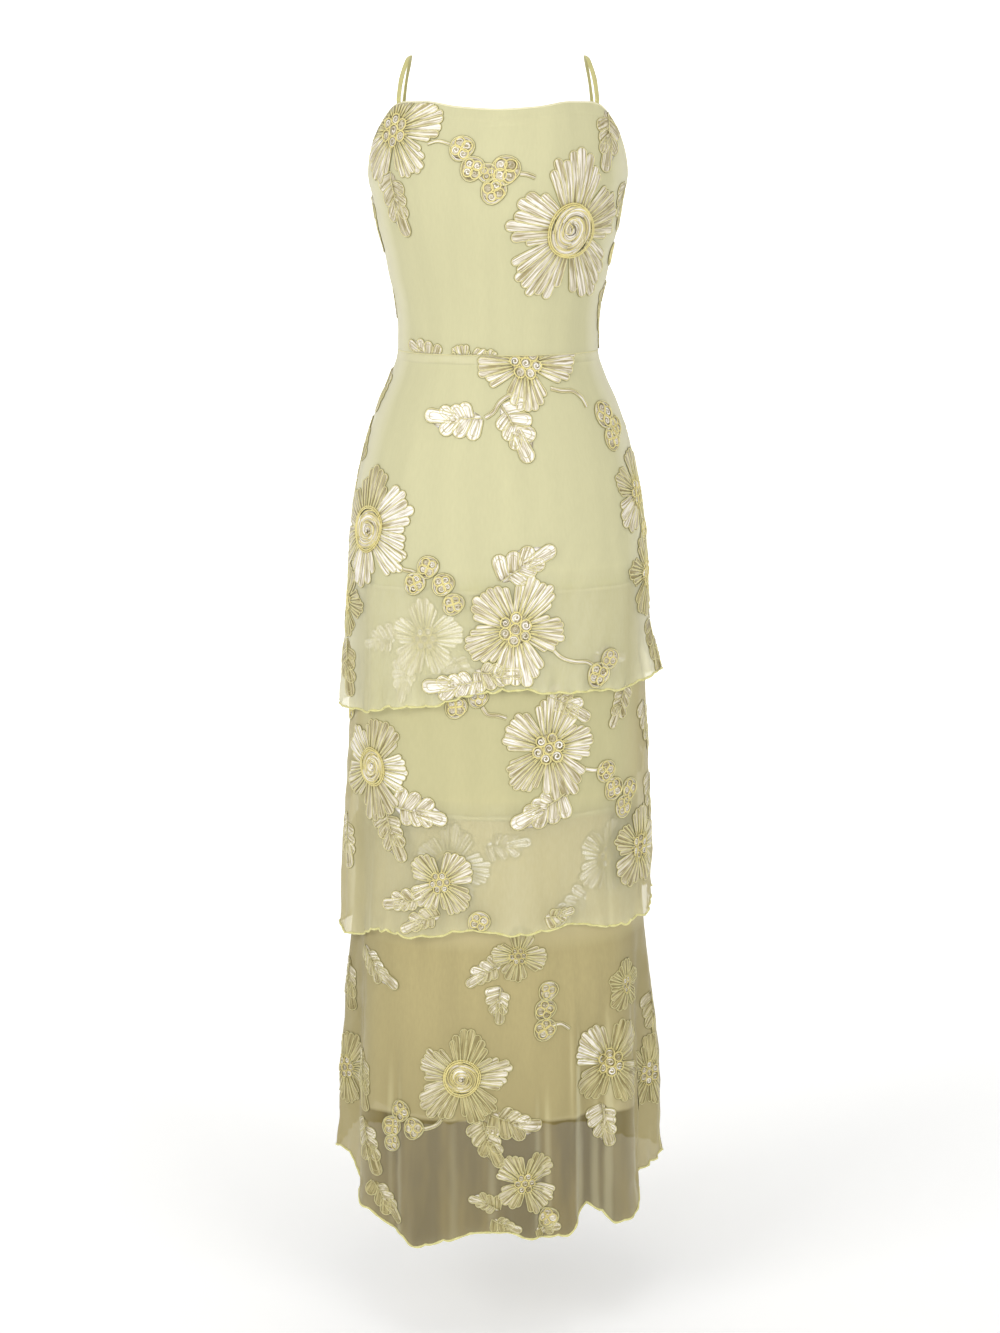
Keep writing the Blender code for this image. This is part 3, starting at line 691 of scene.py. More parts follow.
MATERIAL = {
    "mesh": mesh_cloth_material("sheer_mesh", (0.848, 0.818, 0.560), (0.780, 0.746, 0.462), 0.42, 0.80,
                                (0.800, 0.765, 0.540), (0.800, 0.780, 0.540), inner=0.86,
                                close=(0.716, 0.686, 0.420), close_above=-0.548, seam_band=(-0.3185, -0.3090)),
    # The middle and low flounces: the same net as the top, painted darker and browner further down the dress, painted
    # shade; the low one's dark zone below the slip is painted shade too.
    "mesh2": mesh_cloth_material("sheer_mesh_middle_shaded", (0.760, 0.725, 0.480), (0.690, 0.645, 0.390), 0.40, 0.80,
                                 (0.530, 0.460, 0.225), (0.800, 0.775, 0.530),
                                 close=(0.640, 0.600, 0.335), close_above=-0.800),
    "mesh3": mesh_cloth_material("sheer_mesh_low_shaded", (0.590, 0.525, 0.290), (0.480, 0.408, 0.212), 0.48, 0.84,
                                 (0.400, 0.338, 0.160), (0.590, 0.545, 0.320), (0.146, 0.111, 0.032), 0.95, 0.76, 0.92, (0.670, 0.590, 0.330),
                                 (0.540, 0.458, 0.222), -1.1520),
    # The low flounce's back: painted darker still, painted shade of the skirt's inside seen through the front.
    "mesh3_back": mesh_cloth_material("sheer_mesh_low_back", (0.400, 0.340, 0.170), (0.360, 0.305, 0.145), 0.80, 0.84,
                                      (0.380, 0.320, 0.150), (0.520, 0.470, 0.270), high=(0.680, 0.610, 0.370)),
    "lining": lining_material("slip_jersey"),
    "strap": lining_material("strap_jersey", (0.600, 0.560, 0.250), (0.530, 0.490, 0.200), False),
    "turning": lining_material("turned_mesh", (0.800, 0.765, 0.530), (0.740, 0.705, 0.470), False),
    "seam": lining_material("seam_allowance", (0.680, 0.640, 0.370), (0.630, 0.590, 0.320), False),
    "ribbon": satin_material("satin_tape"),
    "thread": thread_material("outline_thread", (0.68, 0.61, 0.25), (0.95, 0.90, 0.56), 0.5, (0.235, 0.195, 0.045),
                              ((0.77, 0.640, 0.22), (0.99, 0.930, 0.48), (0.40, 0.310, 0.070))),
    "hem": thread_material("hem_thread", (0.56, 0.52, 0.16), (0.86, 0.82, 0.43), 0.6),
}


# ================================================================ making meshes
def make_piece(name, points, quads, uv, material, tone=None, triangles=None, flank=None):
    """A mesh piece from arrays, smooth, with its UVs in metres."""
    data = bpy.data.meshes.new(name)
    faces = [quads] if triangles is None else [quads, triangles]
    count = sum(len(f) for f in faces)
    loops = np.concatenate([f.ravel() for f in faces]).astype(np.int32)
    sizes = np.concatenate([np.full(len(f), f.shape[1]) for f in faces])
    starts = np.concatenate([[0], np.cumsum(sizes)[:-1]]).astype(np.int32)
    data.vertices.add(len(points))
    data.vertices.foreach_set("co", points.astype(np.float32).ravel())
    data.loops.add(len(loops))
    data.loops.foreach_set("vertex_index", loops)
    data.polygons.add(count)
    data.polygons.foreach_set("loop_start", starts)
    data.update(calc_edges=True)
    layer = data.uv_layers.new(name="cloth")
    layer.data.foreach_set("uv", uv[loops].astype(np.float32).ravel())
    if tone is not None:
        attribute = data.attributes.new("tone", "FLOAT", "POINT")
        attribute.data.foreach_set("value", tone.astype(np.float32))
    if flank is not None:
        attribute = data.attributes.new("flank", "FLOAT", "POINT")
        attribute.data.foreach_set("value", flank.astype(np.float32))
    data.shade_smooth()
    data.materials.append(material)
    data.validate()
    thing = bpy.data.objects.new(name, data)
    bpy.context.scene.collection.objects.link(thing)
    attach(thing, "root")
    return thing


def grid_quads(columns, rows, base=0):
    """Quads of a grid of columns x rows points, columns running round, rows running up; they face out."""
    i, j = np.meshgrid(np.arange(columns - 1), np.arange(rows - 1), indexing="ij")
    a = base + i * rows + j
    return np.stack([a, a + rows, a + rows + 1, a + 1], -1).reshape(-1, 4)


def row_shares(fine_at_low, fine_at_high, rows, fine, share):
    """Shares from 0 to 1 for a panel's rows, closer together near one or both ends."""
    parts = [np.linspace(0, 1, rows)]
    if fine_at_low:
        parts.append(np.linspace(0, share, fine))
    if fine_at_high:
        parts.append(np.linspace(1 - share, 1, fine))
    shares = np.unique(np.round(np.concatenate(parts), 5))
    keep = [shares[0]]
    for s in shares[1:-1]:
        if s - keep[-1] > share / fine * 0.6 and 1 - s > share / fine * 0.6:
            keep.append(s)
    return np.array(keep + [1.0])


def side_angles(side, count):
    middle = 0.0 if side == "front" else 180.0
    return middle + np.linspace(-90.0 + 0.07, 90.0 - 0.07, count)


def measure_panel(points):
    """The flat size of a grid panel: its widest row, its longest column and its area."""
    across = np.linalg.norm(np.diff(points, axis=0), axis=-1).sum(0)
    up = np.linalg.norm(np.diff(points, axis=1), axis=-1).sum(1)
    d1 = points[1:, 1:] - points[:-1, :-1]
    d2 = points[:-1, 1:] - points[1:, :-1]
    area = 0.5 * np.linalg.norm(np.cross(d1, d2), axis=-1).sum()
    return float(across.max()), float(up.max()), float(area)


def steepness(layer, angle, height):
    """0 where a layer runs level round the body, 1 on a fold's steep flank; some at the hem's waves too."""
    if layer not in TIERS:
        return np.zeros_like(height)
    step = 0.6
    rise = np.abs(stand_off(layer, angle + step, height) - stand_off(layer, angle - step, height)
                  + crease(layer, angle + step, height) - crease(layer, angle - step, height))
    slope = rise / (2 * math.radians(step) * 0.14)
    above = np.maximum(height - hem_line(layer, angle), 0.0)
    return np.clip(soft_step((slope - 0.22) / 0.55) + 0.40 * np.exp(-above / 0.007), 0.0, 1.0)


def cloth_panel(name, layer, side, low, high, columns, shares, material, node, shell=0.0, lift=0.0):
    """A panel between two edges given as functions of the angle: one layer, or a thin closed shell."""
    angles = side_angles(side, columns)
    low_edge, high_edge = low(angles), high(angles)
    heights = low_edge[:, None] + (high_edge - low_edge)[:, None] * shares[None, :]
    spread = np.broadcast_to(angles[:, None], heights.shape)
    points = cloth(layer, spread, heights, lift)
    size = measure_panel(points)
    rows = len(shares)
    uv = np.stack([np.radians(spread) * UV_RADIUS, heights], -1).reshape(-1, 2)
    quads = grid_quads(columns, rows)
    flat_points = points.reshape(-1, 3)
    if shell:
        inner = (points - facing(layer, spread, heights) * shell).reshape(-1, 3)
        n = len(flat_points)
        inside = quads[:, ::-1] + n
        index = np.arange(n).reshape(columns, rows)
        rim = []
        for line, flip in ((index[:, 0], True), (index[:, -1], False), (index[0, :], False), (index[-1, :], True)):
            a, b = line[:-1], line[1:]
            quad = np.stack([a, b, b + n, a + n], -1)
            rim.append(quad[:, ::-1] if flip else quad)
        quads = np.concatenate([quads, inside, *rim])
        flat_points = np.concatenate([flat_points, inner])
        uv = np.concatenate([uv, uv])
    flank = None if shell else steepness(layer, spread, heights).ravel()
    thing = make_piece(name, flat_points, quads, uv, material, flank=flank)
    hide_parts(node)
    return thing, size


def tube(points, radius, sides=6, normals=None, closed=False, squash=1.0, uv_across=0.002):
    """Points, quads and UVs of a tube along a line, closed into a ring or with its ends left open."""
    points = np.asarray(points, float)
    n = len(points)
    if closed:
        along = np.roll(points, -1, 0) - np.roll(points, 1, 0)
    else:
        along = np.gradient(points, axis=0)
    along /= np.linalg.norm(along, axis=1, keepdims=True)
    if normals is None:
        normals = np.tile([0.0, 0.0, 1.0], (n, 1))
    side = np.cross(along, normals)
    side /= np.linalg.norm(side, axis=1, keepdims=True)
    up = np.cross(side, along)
    turn = np.linspace(0, 2 * np.pi, sides, endpoint=False)
    radius = np.broadcast_to(np.asarray(radius, float), (n,))
    ring = (side[:, None, :] * np.cos(turn)[None, :, None] + up[:, None, :] * (np.sin(turn) * squash)[None, :, None])
    mesh = points[:, None, :] + ring * radius[:, None, None]
    length = np.concatenate([[0], np.cumsum(np.linalg.norm(np.diff(points, axis=0), axis=1))])
    uv = np.stack(np.broadcast_arrays(np.linspace(0, uv_across, sides)[None, :], length[:, None]), -1)
    i, k = np.meshgrid(np.arange(n if closed else n - 1), np.arange(sides), indexing="ij")
    i2, k2 = (i + 1) % n, (k + 1) % sides
    quads = np.stack([i * sides + k, i2 * sides + k, i2 * sides + k2, i * sides + k2], -1).reshape(-1, 4)
    return mesh.reshape(-1, 3), quads, uv.reshape(-1, 2)


def cap_tube(points, quads, uv, sides):
    """Adds a middle point and a fan at both ends of an open tube; returns its triangles too."""
    n = len(points)
    first, last = points[:sides].mean(0), points[-sides:].mean(0)
    points = np.concatenate([points, [first, last]])
    uv = np.concatenate([uv, [uv[0], uv[-1]]])
    k = np.arange(sides)
    k2 = (k + 1) % sides
    base = n - sides
    fans = np.concatenate([
        np.stack([np.full(sides, n), k, k2], -1),
        np.stack([np.full(sides, n + 1), base + k2, base + k], -1),
    ])
    return points, quads, uv, fans


def join_parts(parts):
    """Several (points, quads, uv, triangles) as one."""
    points, quads, uvs, fans, base = [], [], [], [], 0
    for p, q, u, f in parts:
        points.append(p)
        quads.append(q + base)
        uvs.append(u)
        if f is not None and len(f):
            fans.append(f + base)
        base += len(p)
    return (np.concatenate(points), np.concatenate(quads), np.concatenate(uvs),
            np.concatenate(fans) if fans else None)


# ================================================================ the cloth
PIECES = {}
SIZES = {}


def keep(name, made):
    PIECES[name], SIZES[name] = made


CLOTH = {("tier1", "front"): "mesh", ("tier1", "back"): "mesh", ("tier2", "front"): "mesh2", ("tier2", "back"): "mesh2",
         ("tier3", "front"): "mesh3", ("tier3", "back"): "mesh3_back"}


def build_cloth():
    bodice_rows = row_shares(False, True, 34, 20, 0.075)
    lining_rows = row_shares(False, True, 20, 9, 0.075)
    for side in ("front", "back"):
        keep("bodice_" + side, cloth_panel(
            "bodice_mesh_" + side, "bodice", side, lambda a: np.full_like(a, WAIST_SEAM + 0.0003), top_edge,
            130, bodice_rows, MATERIAL["mesh"], "bodice_" + side))
        keep("bodice_lining_" + side, cloth_panel(
            "bodice_jersey_" + side, "slip", side, lambda a: np.full_like(a, WAIST_SEAM + 0.0003),
            lambda a: top_edge(a) - 0.0008, 80, lining_rows, MATERIAL["lining"],
            "bodice_lining_" + side, shell=0.0006))
        keep("skirt_lining_" + side, cloth_panel(
            "slip_jersey_" + side, "slip", side, slip_hem, lambda a: np.full_like(a, WAIST_SEAM - 0.0003),
            80, np.linspace(0, 1, 42), MATERIAL["lining"], "skirt_lining_" + side, shell=0.0006))
        for tier in TIERS:
            keep(tier + "_" + side, cloth_panel(
                "flounce" + tier[-1] + "_mesh_" + side, tier, side, lambda a, t=tier: hem_line(t, a),
                lambda a, t=tier: np.full_like(a, TIER_TOP[t] - 0.0003), 240,
                row_shares(True, False, 36, 15, 0.11), MATERIAL[CLOTH[tier, side]],
                tier + "_" + side))


def ring_line(layer, height_at, count=720, lift=0.0, start=-180.0, stop=180.0, closed=True):
    angles = np.linspace(start, stop, count, endpoint=not closed)
    heights = height_at(angles)
    return cloth(layer, angles, heights, lift), facing(layer, angles, heights), angles


def build_edges():
    """Merrowed hems and the bodice's turned top edge."""
    for tier in TIERS:
        line, normals, angles = ring_line(tier, lambda a, t=tier: hem_line(t, a) + 0.0004, 900)
        t = np.radians(angles)
        radius = 0.00125 * (1 + 0.12 * np.sin(61 * t) + 0.10 * np.sin(97 * t + 1) + 0.06 * np.sin(211 * t))
        points, quads, uv = tube(line, radius, 6, normals, closed=True)
        PIECES[tier + "_hem"] = make_piece("flounce" + tier[-1] + "_hem", points, quads, uv, MATERIAL["hem"])
    line, normals, _ = ring_line("bodice", lambda a: top_edge(a) - 0.0004, 480, lift=-0.0007)
    points, quads, uv = tube(line, 0.00120, 7, normals, closed=True)
    PIECES["top_edge"] = make_piece("bodice_turned_edge", points, quads, uv, MATERIAL["turning"])


def build_waist():
    """A fine raised line where bodice and skirt are sewn together."""
    angles = np.linspace(-180.0, 180.0, 720, endpoint=False)
    heights = np.full_like(angles, WAIST_SEAM)
    line = cloth("tier1", angles, heights, -0.0004)
    t = np.radians(angles)
    radius = 0.00085 * (1 + 0.08 * np.sin(73 * t) + 0.06 * np.sin(131 * t + 1))
    points, quads, uv = tube(line, radius, 6, facing("tier1", angles, heights), closed=True)
    PIECES["waist_seam"] = make_piece("waist_seam_line", points, quads, uv, MATERIAL["seam"])


def flat_band(layer, low, high, lift, thick, columns=400, rows=4, start=-180.0, stop=180.0, closed=True):
    """A closed thin band of cloth all round, between two heights given by the angle."""
    angles = np.linspace(start, stop, columns, endpoint=not closed)
    share = np.linspace(0, 1, rows)
    a, b = low(angles), high(angles)
    heights = a[:, None] + (b - a)[:, None] * share[None, :]
    spread = np.broadcast_to(angles[:, None], heights.shape)
    outside = cloth(layer, spread, heights, lift)
    inside = cloth(layer, spread, heights, lift - thick)
    ring = np.concatenate([outside, inside[:, ::-1]], 1)
    size = ring.shape[1]
    uv_ring = np.concatenate([np.stack([np.radians(spread) * UV_RADIUS, heights], -1)] * 1
                             + [np.stack([np.radians(spread) * UV_RADIUS, heights[:, ::-1]], -1)], 1)
    n = columns
    i, k = np.meshgrid(np.arange(n if closed else n - 1), np.arange(size), indexing="ij")
    i2, k2 = (i + 1) % n, (k + 1) % size
    quads = np.stack([i * size + k, i2 * size + k, i2 * size + k2, i * size + k2], -1).reshape(-1, 4)
    return ring.reshape(-1, 3), quads, uv_ring.reshape(-1, 2)


def build_bands():
    """The waist seam's turnings under flounce 1, the seams that carry flounces 2 and 3, the slip's hem."""
    def waist_low(angle):
        t = np.radians(angle)
        return WAIST_SEAM - 0.0092 + 0.0018 * np.sin(t + 0.5) + 0.0006 * np.sin(9 * t) + 0.0004 * np.sin(23 * t + 1)

    points, quads, uv = flat_band("slip", waist_low, lambda a: np.full_like(a, WAIST_SEAM - 0.0006), 0.0011, 0.0006)
    PIECES["waist_turning"] = make_piece("waist_seam_turning", points, quads, uv, MATERIAL["turning"])
    parts = []
    for tier in ("tier2", "tier3"):
        top = TIER_TOP[tier]
        points, quads, uv = flat_band(
            "slip", lambda a, h=top: h - 0.0006 + 0.0004 * np.sin(np.radians(a) * 31),
            lambda a, h=top: h + 0.0050 + 0.0005 * np.sin(np.radians(a) * 17 + 1), 0.0010, 0.0006, rows=3)
        parts.append((points, quads, uv, None))
    points, quads, uv, _ = join_parts(parts)
    PIECES["flounce_seams"] = make_piece("flounce_seam_turnings", points, quads, uv, MATERIAL["seam"])
    points, quads, uv = flat_band("slip", lambda a: slip_hem(a) - 0.0002, lambda a: slip_hem(a) + 0.0120, 0.0006, 0.0004,
                                  rows=4)
    PIECES["slip_hem"] = make_piece("slip_turned_hem", points, quads, uv, MATERIAL["lining"])
    # side seams: a narrow overlocked ridge on each panel's side
    parts = []
    for layer, low, high in (("bodice", WAIST_SEAM + 0.002, None), ("tier1", None, WAIST_SEAM),
                             ("tier2", None, TIER2_SEAM), ("tier3", None, TIER3_SEAM)):
        for angle in (-90.0, 90.0):
            bottom = float(hem_line(layer, np.array([angle]))[0]) + 0.001 if low is None else low
            top = float(top_edge(np.array([angle]))[0]) - 0.001 if high is None else high
            heights = np.linspace(bottom, top, 110)
            spread = np.full_like(heights, angle)
            line, normals = cloth(layer, spread, heights, -0.0002), facing(layer, spread, heights)
            p, q, u = tube(line, 0.00085, 6, normals, squash=0.55)
            parts.append(cap_tube(p, q, u, 6))
    points, quads, uv, fans = join_parts(parts)
    PIECES["side_seams"] = make_piece("side_seams", points, quads, uv, MATERIAL["seam"], triangles=fans)


def build_straps():
    """Two turned tubes, pressed flat, sewn in behind the neckline and the back's edge."""
    for name, side in (("left", -1.0), ("right", 1.0)):
        corner = np.array([NECKLINE_CORNER - 1.5])
        behind = np.array([BACK_STRAP_ANGLE])
        front_top, back_top = top_edge(corner), top_edge(behind)
        start, end = cloth("bodice", corner, front_top)[0], cloth("bodice", behind, back_top)[0]
        start_out, end_out = slip_ring(corner, front_top)[1][0], slip_ring(behind, back_top)[1][0]
        up = np.array([0.0, 0.0, 1.0])
        start = start - start_out * 0.0011
        end = end - end_out * 0.0011
        line = [start - up * 0.0050 - start_out * 0.0001, start + up * 0.0010,
                start + np.array([0, 0.001, 0.0072])]
        line += [np.array(row) for row in STRAP_OVER_SHOULDER]
        line += [end + np.array([0, -0.0005, 0.0092]), end + up * 0.0010, end - up * 0.0050]
        line = np.array(line)
        samples = []
        for i in range(len(line) - 1):
            p0, p1, p2, p3 = line[max(i - 1, 0)], line[i], line[i + 1], line[min(i + 2, len(line) - 1)]
            for u in np.linspace(0, 1, 14, endpoint=False):
                samples.append(0.5 * (2 * p1 + (p2 - p0) * u + (2 * p0 - 5 * p1 + 4 * p2 - p3) * u * u
                                      + (3 * p1 - p0 - 3 * p2 + p3) * u**3))
        samples.append(line[-1])
        samples = np.array(samples)
        n = len(samples)
        length = np.concatenate([[0], np.cumsum(np.linalg.norm(np.diff(samples, axis=0), axis=1))])
        t = length / length[-1]
        face = np.stack([0.35 + 0.25 * t, -1.0 + 2.0 * t, np.full(n, 0.9)], -1)
        blend = soft_step(t / 0.18)[:, None]
        face = start_out * (1 - blend) + face * blend
        blend = soft_step((1 - t) / 0.18)[:, None]
        face = end_out * (1 - blend) + face * blend
        along = np.gradient(samples, axis=0)
        along /= np.linalg.norm(along, axis=1, keepdims=True)
        across = np.cross(along, face)
        across /= np.linalg.norm(across, axis=1, keepdims=True)
        top = np.cross(across, along)
        # a gentle twist here and there, as a turned tube has
        twist = 0.16 * np.sin(9.0 * t + 0.6) + 0.07 * np.sin(31.0 * t)
        across, top = (across * np.cos(twist)[:, None] + top * np.sin(twist)[:, None],
                       top * np.cos(twist)[:, None] - across * np.sin(twist)[:, None])
        sides = 14
        turn = np.linspace(0, 2 * np.pi, sides, endpoint=False)
        width = STRAP_WIDTH / 2 * (1 + 0.035 * np.sin(47 * t) + 0.02 * np.sin(83 * t + 2))
        power = 0.62
        flat = np.sign(np.cos(turn)) * np.abs(np.cos(turn)) ** power
        high = np.sign(np.sin(turn)) * np.abs(np.sin(turn)) ** 0.85
        groove = 1.0 - 0.22 * np.exp(-((np.cos(turn) - 0.62) / 0.18) ** 2) * (np.sin(turn) > 0)
        mesh = (samples[:, None, :] + across[:, None, :] * (flat[None, :] * width[:, None])[..., None]
                + top[:, None, :] * (high * groove * STRAP_THICKNESS / 2)[None, :, None])
        mesh[..., 0] *= side
        uv = np.stack(np.broadcast_arrays((turn * 0.0012)[None, :], length[:, None]), -1)
        i, k = np.meshgrid(np.arange(n - 1), np.arange(sides), indexing="ij")
        k2 = (k + 1) % sides
        quads = np.stack([i * sides + k, i * sides + k2, (i + 1) * sides + k2, (i + 1) * sides + k], -1).reshape(-1, 4)
        points, quads, uv, fans = cap_tube(mesh.reshape(-1, 3), quads, uv.reshape(-1, 2), sides)
        if side > 0:
            quads, fans = quads[:, ::-1], fans[:, ::-1]
        thing = make_piece("strap_" + name + "_tube", points, quads, uv, MATERIAL["strap"], triangles=fans)
        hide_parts("strap_" + name)
        PIECES["strap_" + name] = thing


# ================================================================ ribbon embroidery
def strip_quads(stations, ring):
    i, k = np.meshgrid(np.arange(stations - 1), np.arange(ring), indexing="ij")
    k2 = (k + 1) % ring
    return np.stack([i * ring + k, (i + 1) * ring + k, (i + 1) * ring + k2, i * ring + k2], -1).reshape(-1, 4)


class Soup:
    """Points as (u, v, h) in a motif's own measures, with quads, UVs and tone, gathered for one piece."""

    def __init__(self):
        self.points, self.quads, self.uv, self.tone, self.count = [], [], [], [], 0

    def add(self, points, quads, uv, tone):
        self.points.append(points)
        self.quads.append(quads + self.count)
        self.uv.append(uv)
        self.tone.append(np.broadcast_to(tone, (len(points),)))
        self.count += len(points)


def both_sides(path):
    """Unit directions along a line and to its right."""
    along = np.gradient(path, axis=0)
    along /= np.maximum(np.linalg.norm(along, axis=1, keepdims=True), 1e-9)
    return along, np.stack([along[:, 1], -along[:, 0]], -1)


def lengths_along(path):
    return np.concatenate([[0], np.cumsum(np.linalg.norm(np.diff(path, axis=0), axis=1))])


class Motif:
    """One motif: tape and thread laid flat, u to the right, v up, h off the cloth."""

    def __init__(self, random, turn, gleam, fine, gold, ground, thread):
        # turn: how the motif is turned on the cloth; gleam: how much the satin's tone hangs on which way it runs;
        # gold: how deep the hearts' tape is; ground: how deep all of it is; thread: how thick it is, and how deep
        self.tape, self.thread, self.random = Soup(), Soup(), random
        self.turn, self.gleam, self.fine, self.gold, self.ground = math.radians(turn), gleam, fine, gold, ground
        self.thick, self.deep = thread

    def shade(self, along, tone):
        """How dull a run of satin is: on the lower flounces level runs catch the light and upright ones don't."""
        way = np.arctan2(along[..., 1], along[..., 0]) + self.turn
        return np.clip(tone + self.ground + self.gleam * (1.3 * np.abs(np.sin(way)) ** 1.7 - 0.32), -1.0, 1.0)

    def lay(self, path, width, tone, lift=0.0, crown=0.0009):
        """Tape along a path: a closed flat band with a domed, slightly puckered top."""
        path = np.asarray(path, float)
        n = len(path)
        width = np.broadcast_to(np.asarray(width, float), (n,))
        along, right = both_sides(path)
        side = np.array([-1.0, -0.62, 0.0, 0.62, 1.0, 0.0])
        high = np.array([0.20, 0.90, 1.0, 0.90, 0.20, -0.10])
        pucker = 1 + 0.14 * self.random.standard_normal((n, 6)) * (np.abs(side) < 0.9)
        crowns = crown * np.clip(width / 0.0036, 0.45, 1.0)         # narrow tape lies lower
        flat = path[:, None, :] + right[:, None, :] * (side[None, :, None] * width[:, None, None] / 2)
        height = np.broadcast_to(np.asarray(lift, float), (n,))[:, None] + high[None, :] * crowns[:, None] * pucker
        points = np.concatenate([flat, height[..., None]], -1).reshape(-1, 3)
        start = self.random.uniform(0, 3.0, 2)
        uv = np.stack(np.broadcast_arrays(start[0] + (side * 0.5)[None, :] * width[:, None],
                                          start[1] + lengths_along(path)[:, None]), -1)
        caps = np.array([[0, 1, 2, 5], [2, 3, 4, 5]])
        quads = np.concatenate([strip_quads(n, 6), caps, (caps + (n - 1) * 6)[:, ::-1]])
        tones = np.tile(self.shade(along, tone)[:, None], (1, 6))
        tones[:, [0, 4]] += 0.18
        self.tape.add(points, quads[:, ::-1], uv.reshape(-1, 2), np.clip(tones, -1, 1).reshape(-1))

    def cord(self, path, radius=0.00070, lift=0.0007, outer=0, dark=0.0, heart=False):
        """Thread along a path: a four-sided tube, in the shade on the side that faces away from its motif."""
        path = np.asarray(path, float)
        n = len(path)
        _, right = both_sides(path)
        radius = radius * self.thick
        side, high = np.array([1.0, 0.0, -1.0, 0.0]), np.array([0.0, 1.0, 0.0, -0.9])
        shade = np.array([0.30, 0.0, 0.30, 0.7])
        if outer:
            side, high = np.array([1.30, -0.15, -1.0, 0.1]), np.array([-0.15, 1.0, 0.0, -0.9])
            shade = np.array([1.0, 0.0, 0.10, 0.7])
            if outer < 0:
                order = [2, 1, 0, 3]
                side, high, shade = -side[order], high[order], shade[order]
        flat = path[:, None, :] + right[:, None, :] * (side * radius)[None, :, None]
        height = np.broadcast_to(np.asarray(lift, float), (n,))[:, None] + (high * radius)[None, :]
        points = np.concatenate([flat, height[..., None]], -1).reshape(-1, 3)
        start = self.random.uniform(0, 3.0)
        uv = np.stack(np.broadcast_arrays(np.linspace(0, 0.002, 4)[None, :], start + lengths_along(path)[:, None]), -1)
        base = (n - 1) * 4
        quads = np.concatenate([strip_quads(n, 4), [[0, 1, 2, 3]], [[base + 3, base + 2, base + 1, base]]])
        tones = np.clip(np.tile(shade + dark + self.deep, n), 0, 1)
        self.thread.add(points, quads, uv.reshape(-1, 2), -1.0 - tones if heart else tones)     # a heart's is gold

    def finger(self, base, tip, half_base, half_tip, tone, lift=0.0, bend=0.0, slit=0.0, nested=False):
        """A hairpin of tape, its two runs side by side, with thread round its outside."""
        base, tip = np.asarray(base, float), np.asarray(tip, float)
        axis = tip - base
        length = np.linalg.norm(axis)
        axis = axis / length
        left = np.array([-axis[1], axis[0]])
        end = max(1.0 - half_tip / length, 0.5)             # where the tip begins to round
        if self.fine:
            share = np.concatenate([end * np.array([0.0, 0.28, 0.55, 0.8, 1.0]), end + (1 - end) * np.array([0.45, 0.8, 0.97])])
            side = np.array([-1.0, -0.84, -0.44, 0.0, 0.44, 0.84, 1.0, 0.0])
            high = np.array([0.10, 0.84, 1.0, 0.70, 1.0, 0.84, 0.10, -0.10])
        else:
            share = np.concatenate([end * np.array([0.0, 0.4, 0.75, 1.0]), end + (1 - end) * np.array([0.6, 0.95])])
            side = np.array([-1.0, -0.62, 0.0, 0.62, 1.0, 0.0])
            high = np.array([0.12, 0.95, 0.70, 0.95, 0.12, -0.10])
        n, ring = len(share), len(side)
        middle = ring // 2 - 1
        half = half_base + (half_tip - half_base) * np.minimum(share / end, 1.0) ** 0.8
        half = half * np.sqrt(np.maximum(1 - np.maximum((share - end) / (1 - end), 0.0) ** 2, 0.0))
        crown = 0.00078 * np.clip(half / 0.0034, 0.5, 1.0)
        opens = slit * np.clip(1 - np.abs(share / end - 0.78) / 0.36, 0.0, 1.0)
        shape = np.tile(high, (n, 1)) * (1 + 0.10 * self.random.standard_normal((n, ring)) * (np.abs(side) < 0.9))
        shape[:, middle] = 0.68 - 0.62 * opens + 0.05 * self.random.standard_normal(n)
        shape[:, -1] = -0.10
        beside = np.tile(side, (n, 1))
        if self.fine:
            beside[:, middle - 1] -= 0.14 * opens
            beside[:, middle + 1] += 0.14 * opens
        beside = beside * half[:, None] + bend * (share**2)[:, None]
        flat = base + axis * (share * length)[:, None, None] + left * beside[..., None]
        points = np.concatenate([flat, (lift + shape * crown[:, None])[..., None]], -1).reshape(-1, 3)
        start = self.random.uniform(0, 3.0, 2)
        uv = np.stack(np.broadcast_arrays(start[0] + side[None, :] * half[:, None], start[1] + (share * length)[:, None]), -1)
        tones = np.tile(self.shade(axis, tone), (n, ring)).astype(float)
        tones += 0.07 * self.random.standard_normal((n, ring))
        tones[:, middle] += 0.34 + 0.8 * opens
        tones[:, [0, -2]] += 0.15
        tones[0] += 0.42                                    # the roots lie deeper, in the thread's gold
        tones[1] += 0.12
        cap = np.array([[ring - 1, k, k + 1, k + 2] for k in range(0, ring - 2, 2)])
        quads = np.concatenate([strip_quads(n, ring), cap, (cap + (n - 1) * ring)[:, ::-1]])
        self.tape.add(points, quads, uv.reshape(-1, 2), np.clip(tones, -1, 1).reshape(-1))

        self.outline(base, axis, left, length, end, half_base, half_tip, bend, lift + 0.00046, 0.00072, -1)
        if nested:
            self.outline(base + axis * length * 0.10, axis, left, length * 0.80, end, half_base * 0.40, half_tip * 0.52,
                         bend * 0.75, lift + 0.00070, 0.00045, 0, 0.25)

    def outline(self, base, axis, left, length, end, half_base, half_tip, bend, lift, radius, outer, dark=0.0):
        """Thread up one side of a hairpin, round its tip and down the other side."""
        steps = np.array([0.0, 0.35, 0.7, 1.0])
        reach = half_base + (half_tip - half_base) * steps ** 0.8 + 0.0003
        forth = steps * end
        turn = np.radians([60.0, 30.0, 0.0, -30.0, -60.0] if self.fine else [50.0, 0.0, -50.0])
        bow = np.stack([end * length + (half_tip + 0.0003) * np.cos(turn), (half_tip + 0.0003) * np.sin(turn)], -1)
        line = np.concatenate([np.stack([forth * length, reach], -1), bow, np.stack([forth * length, -reach], -1)[::-1]])
        line[:, 1] += bend * (line[:, 0] / length) ** 2
        self.cord(base + axis * line[:, :1] + left * line[:, 1:], radius, lift, outer, dark)

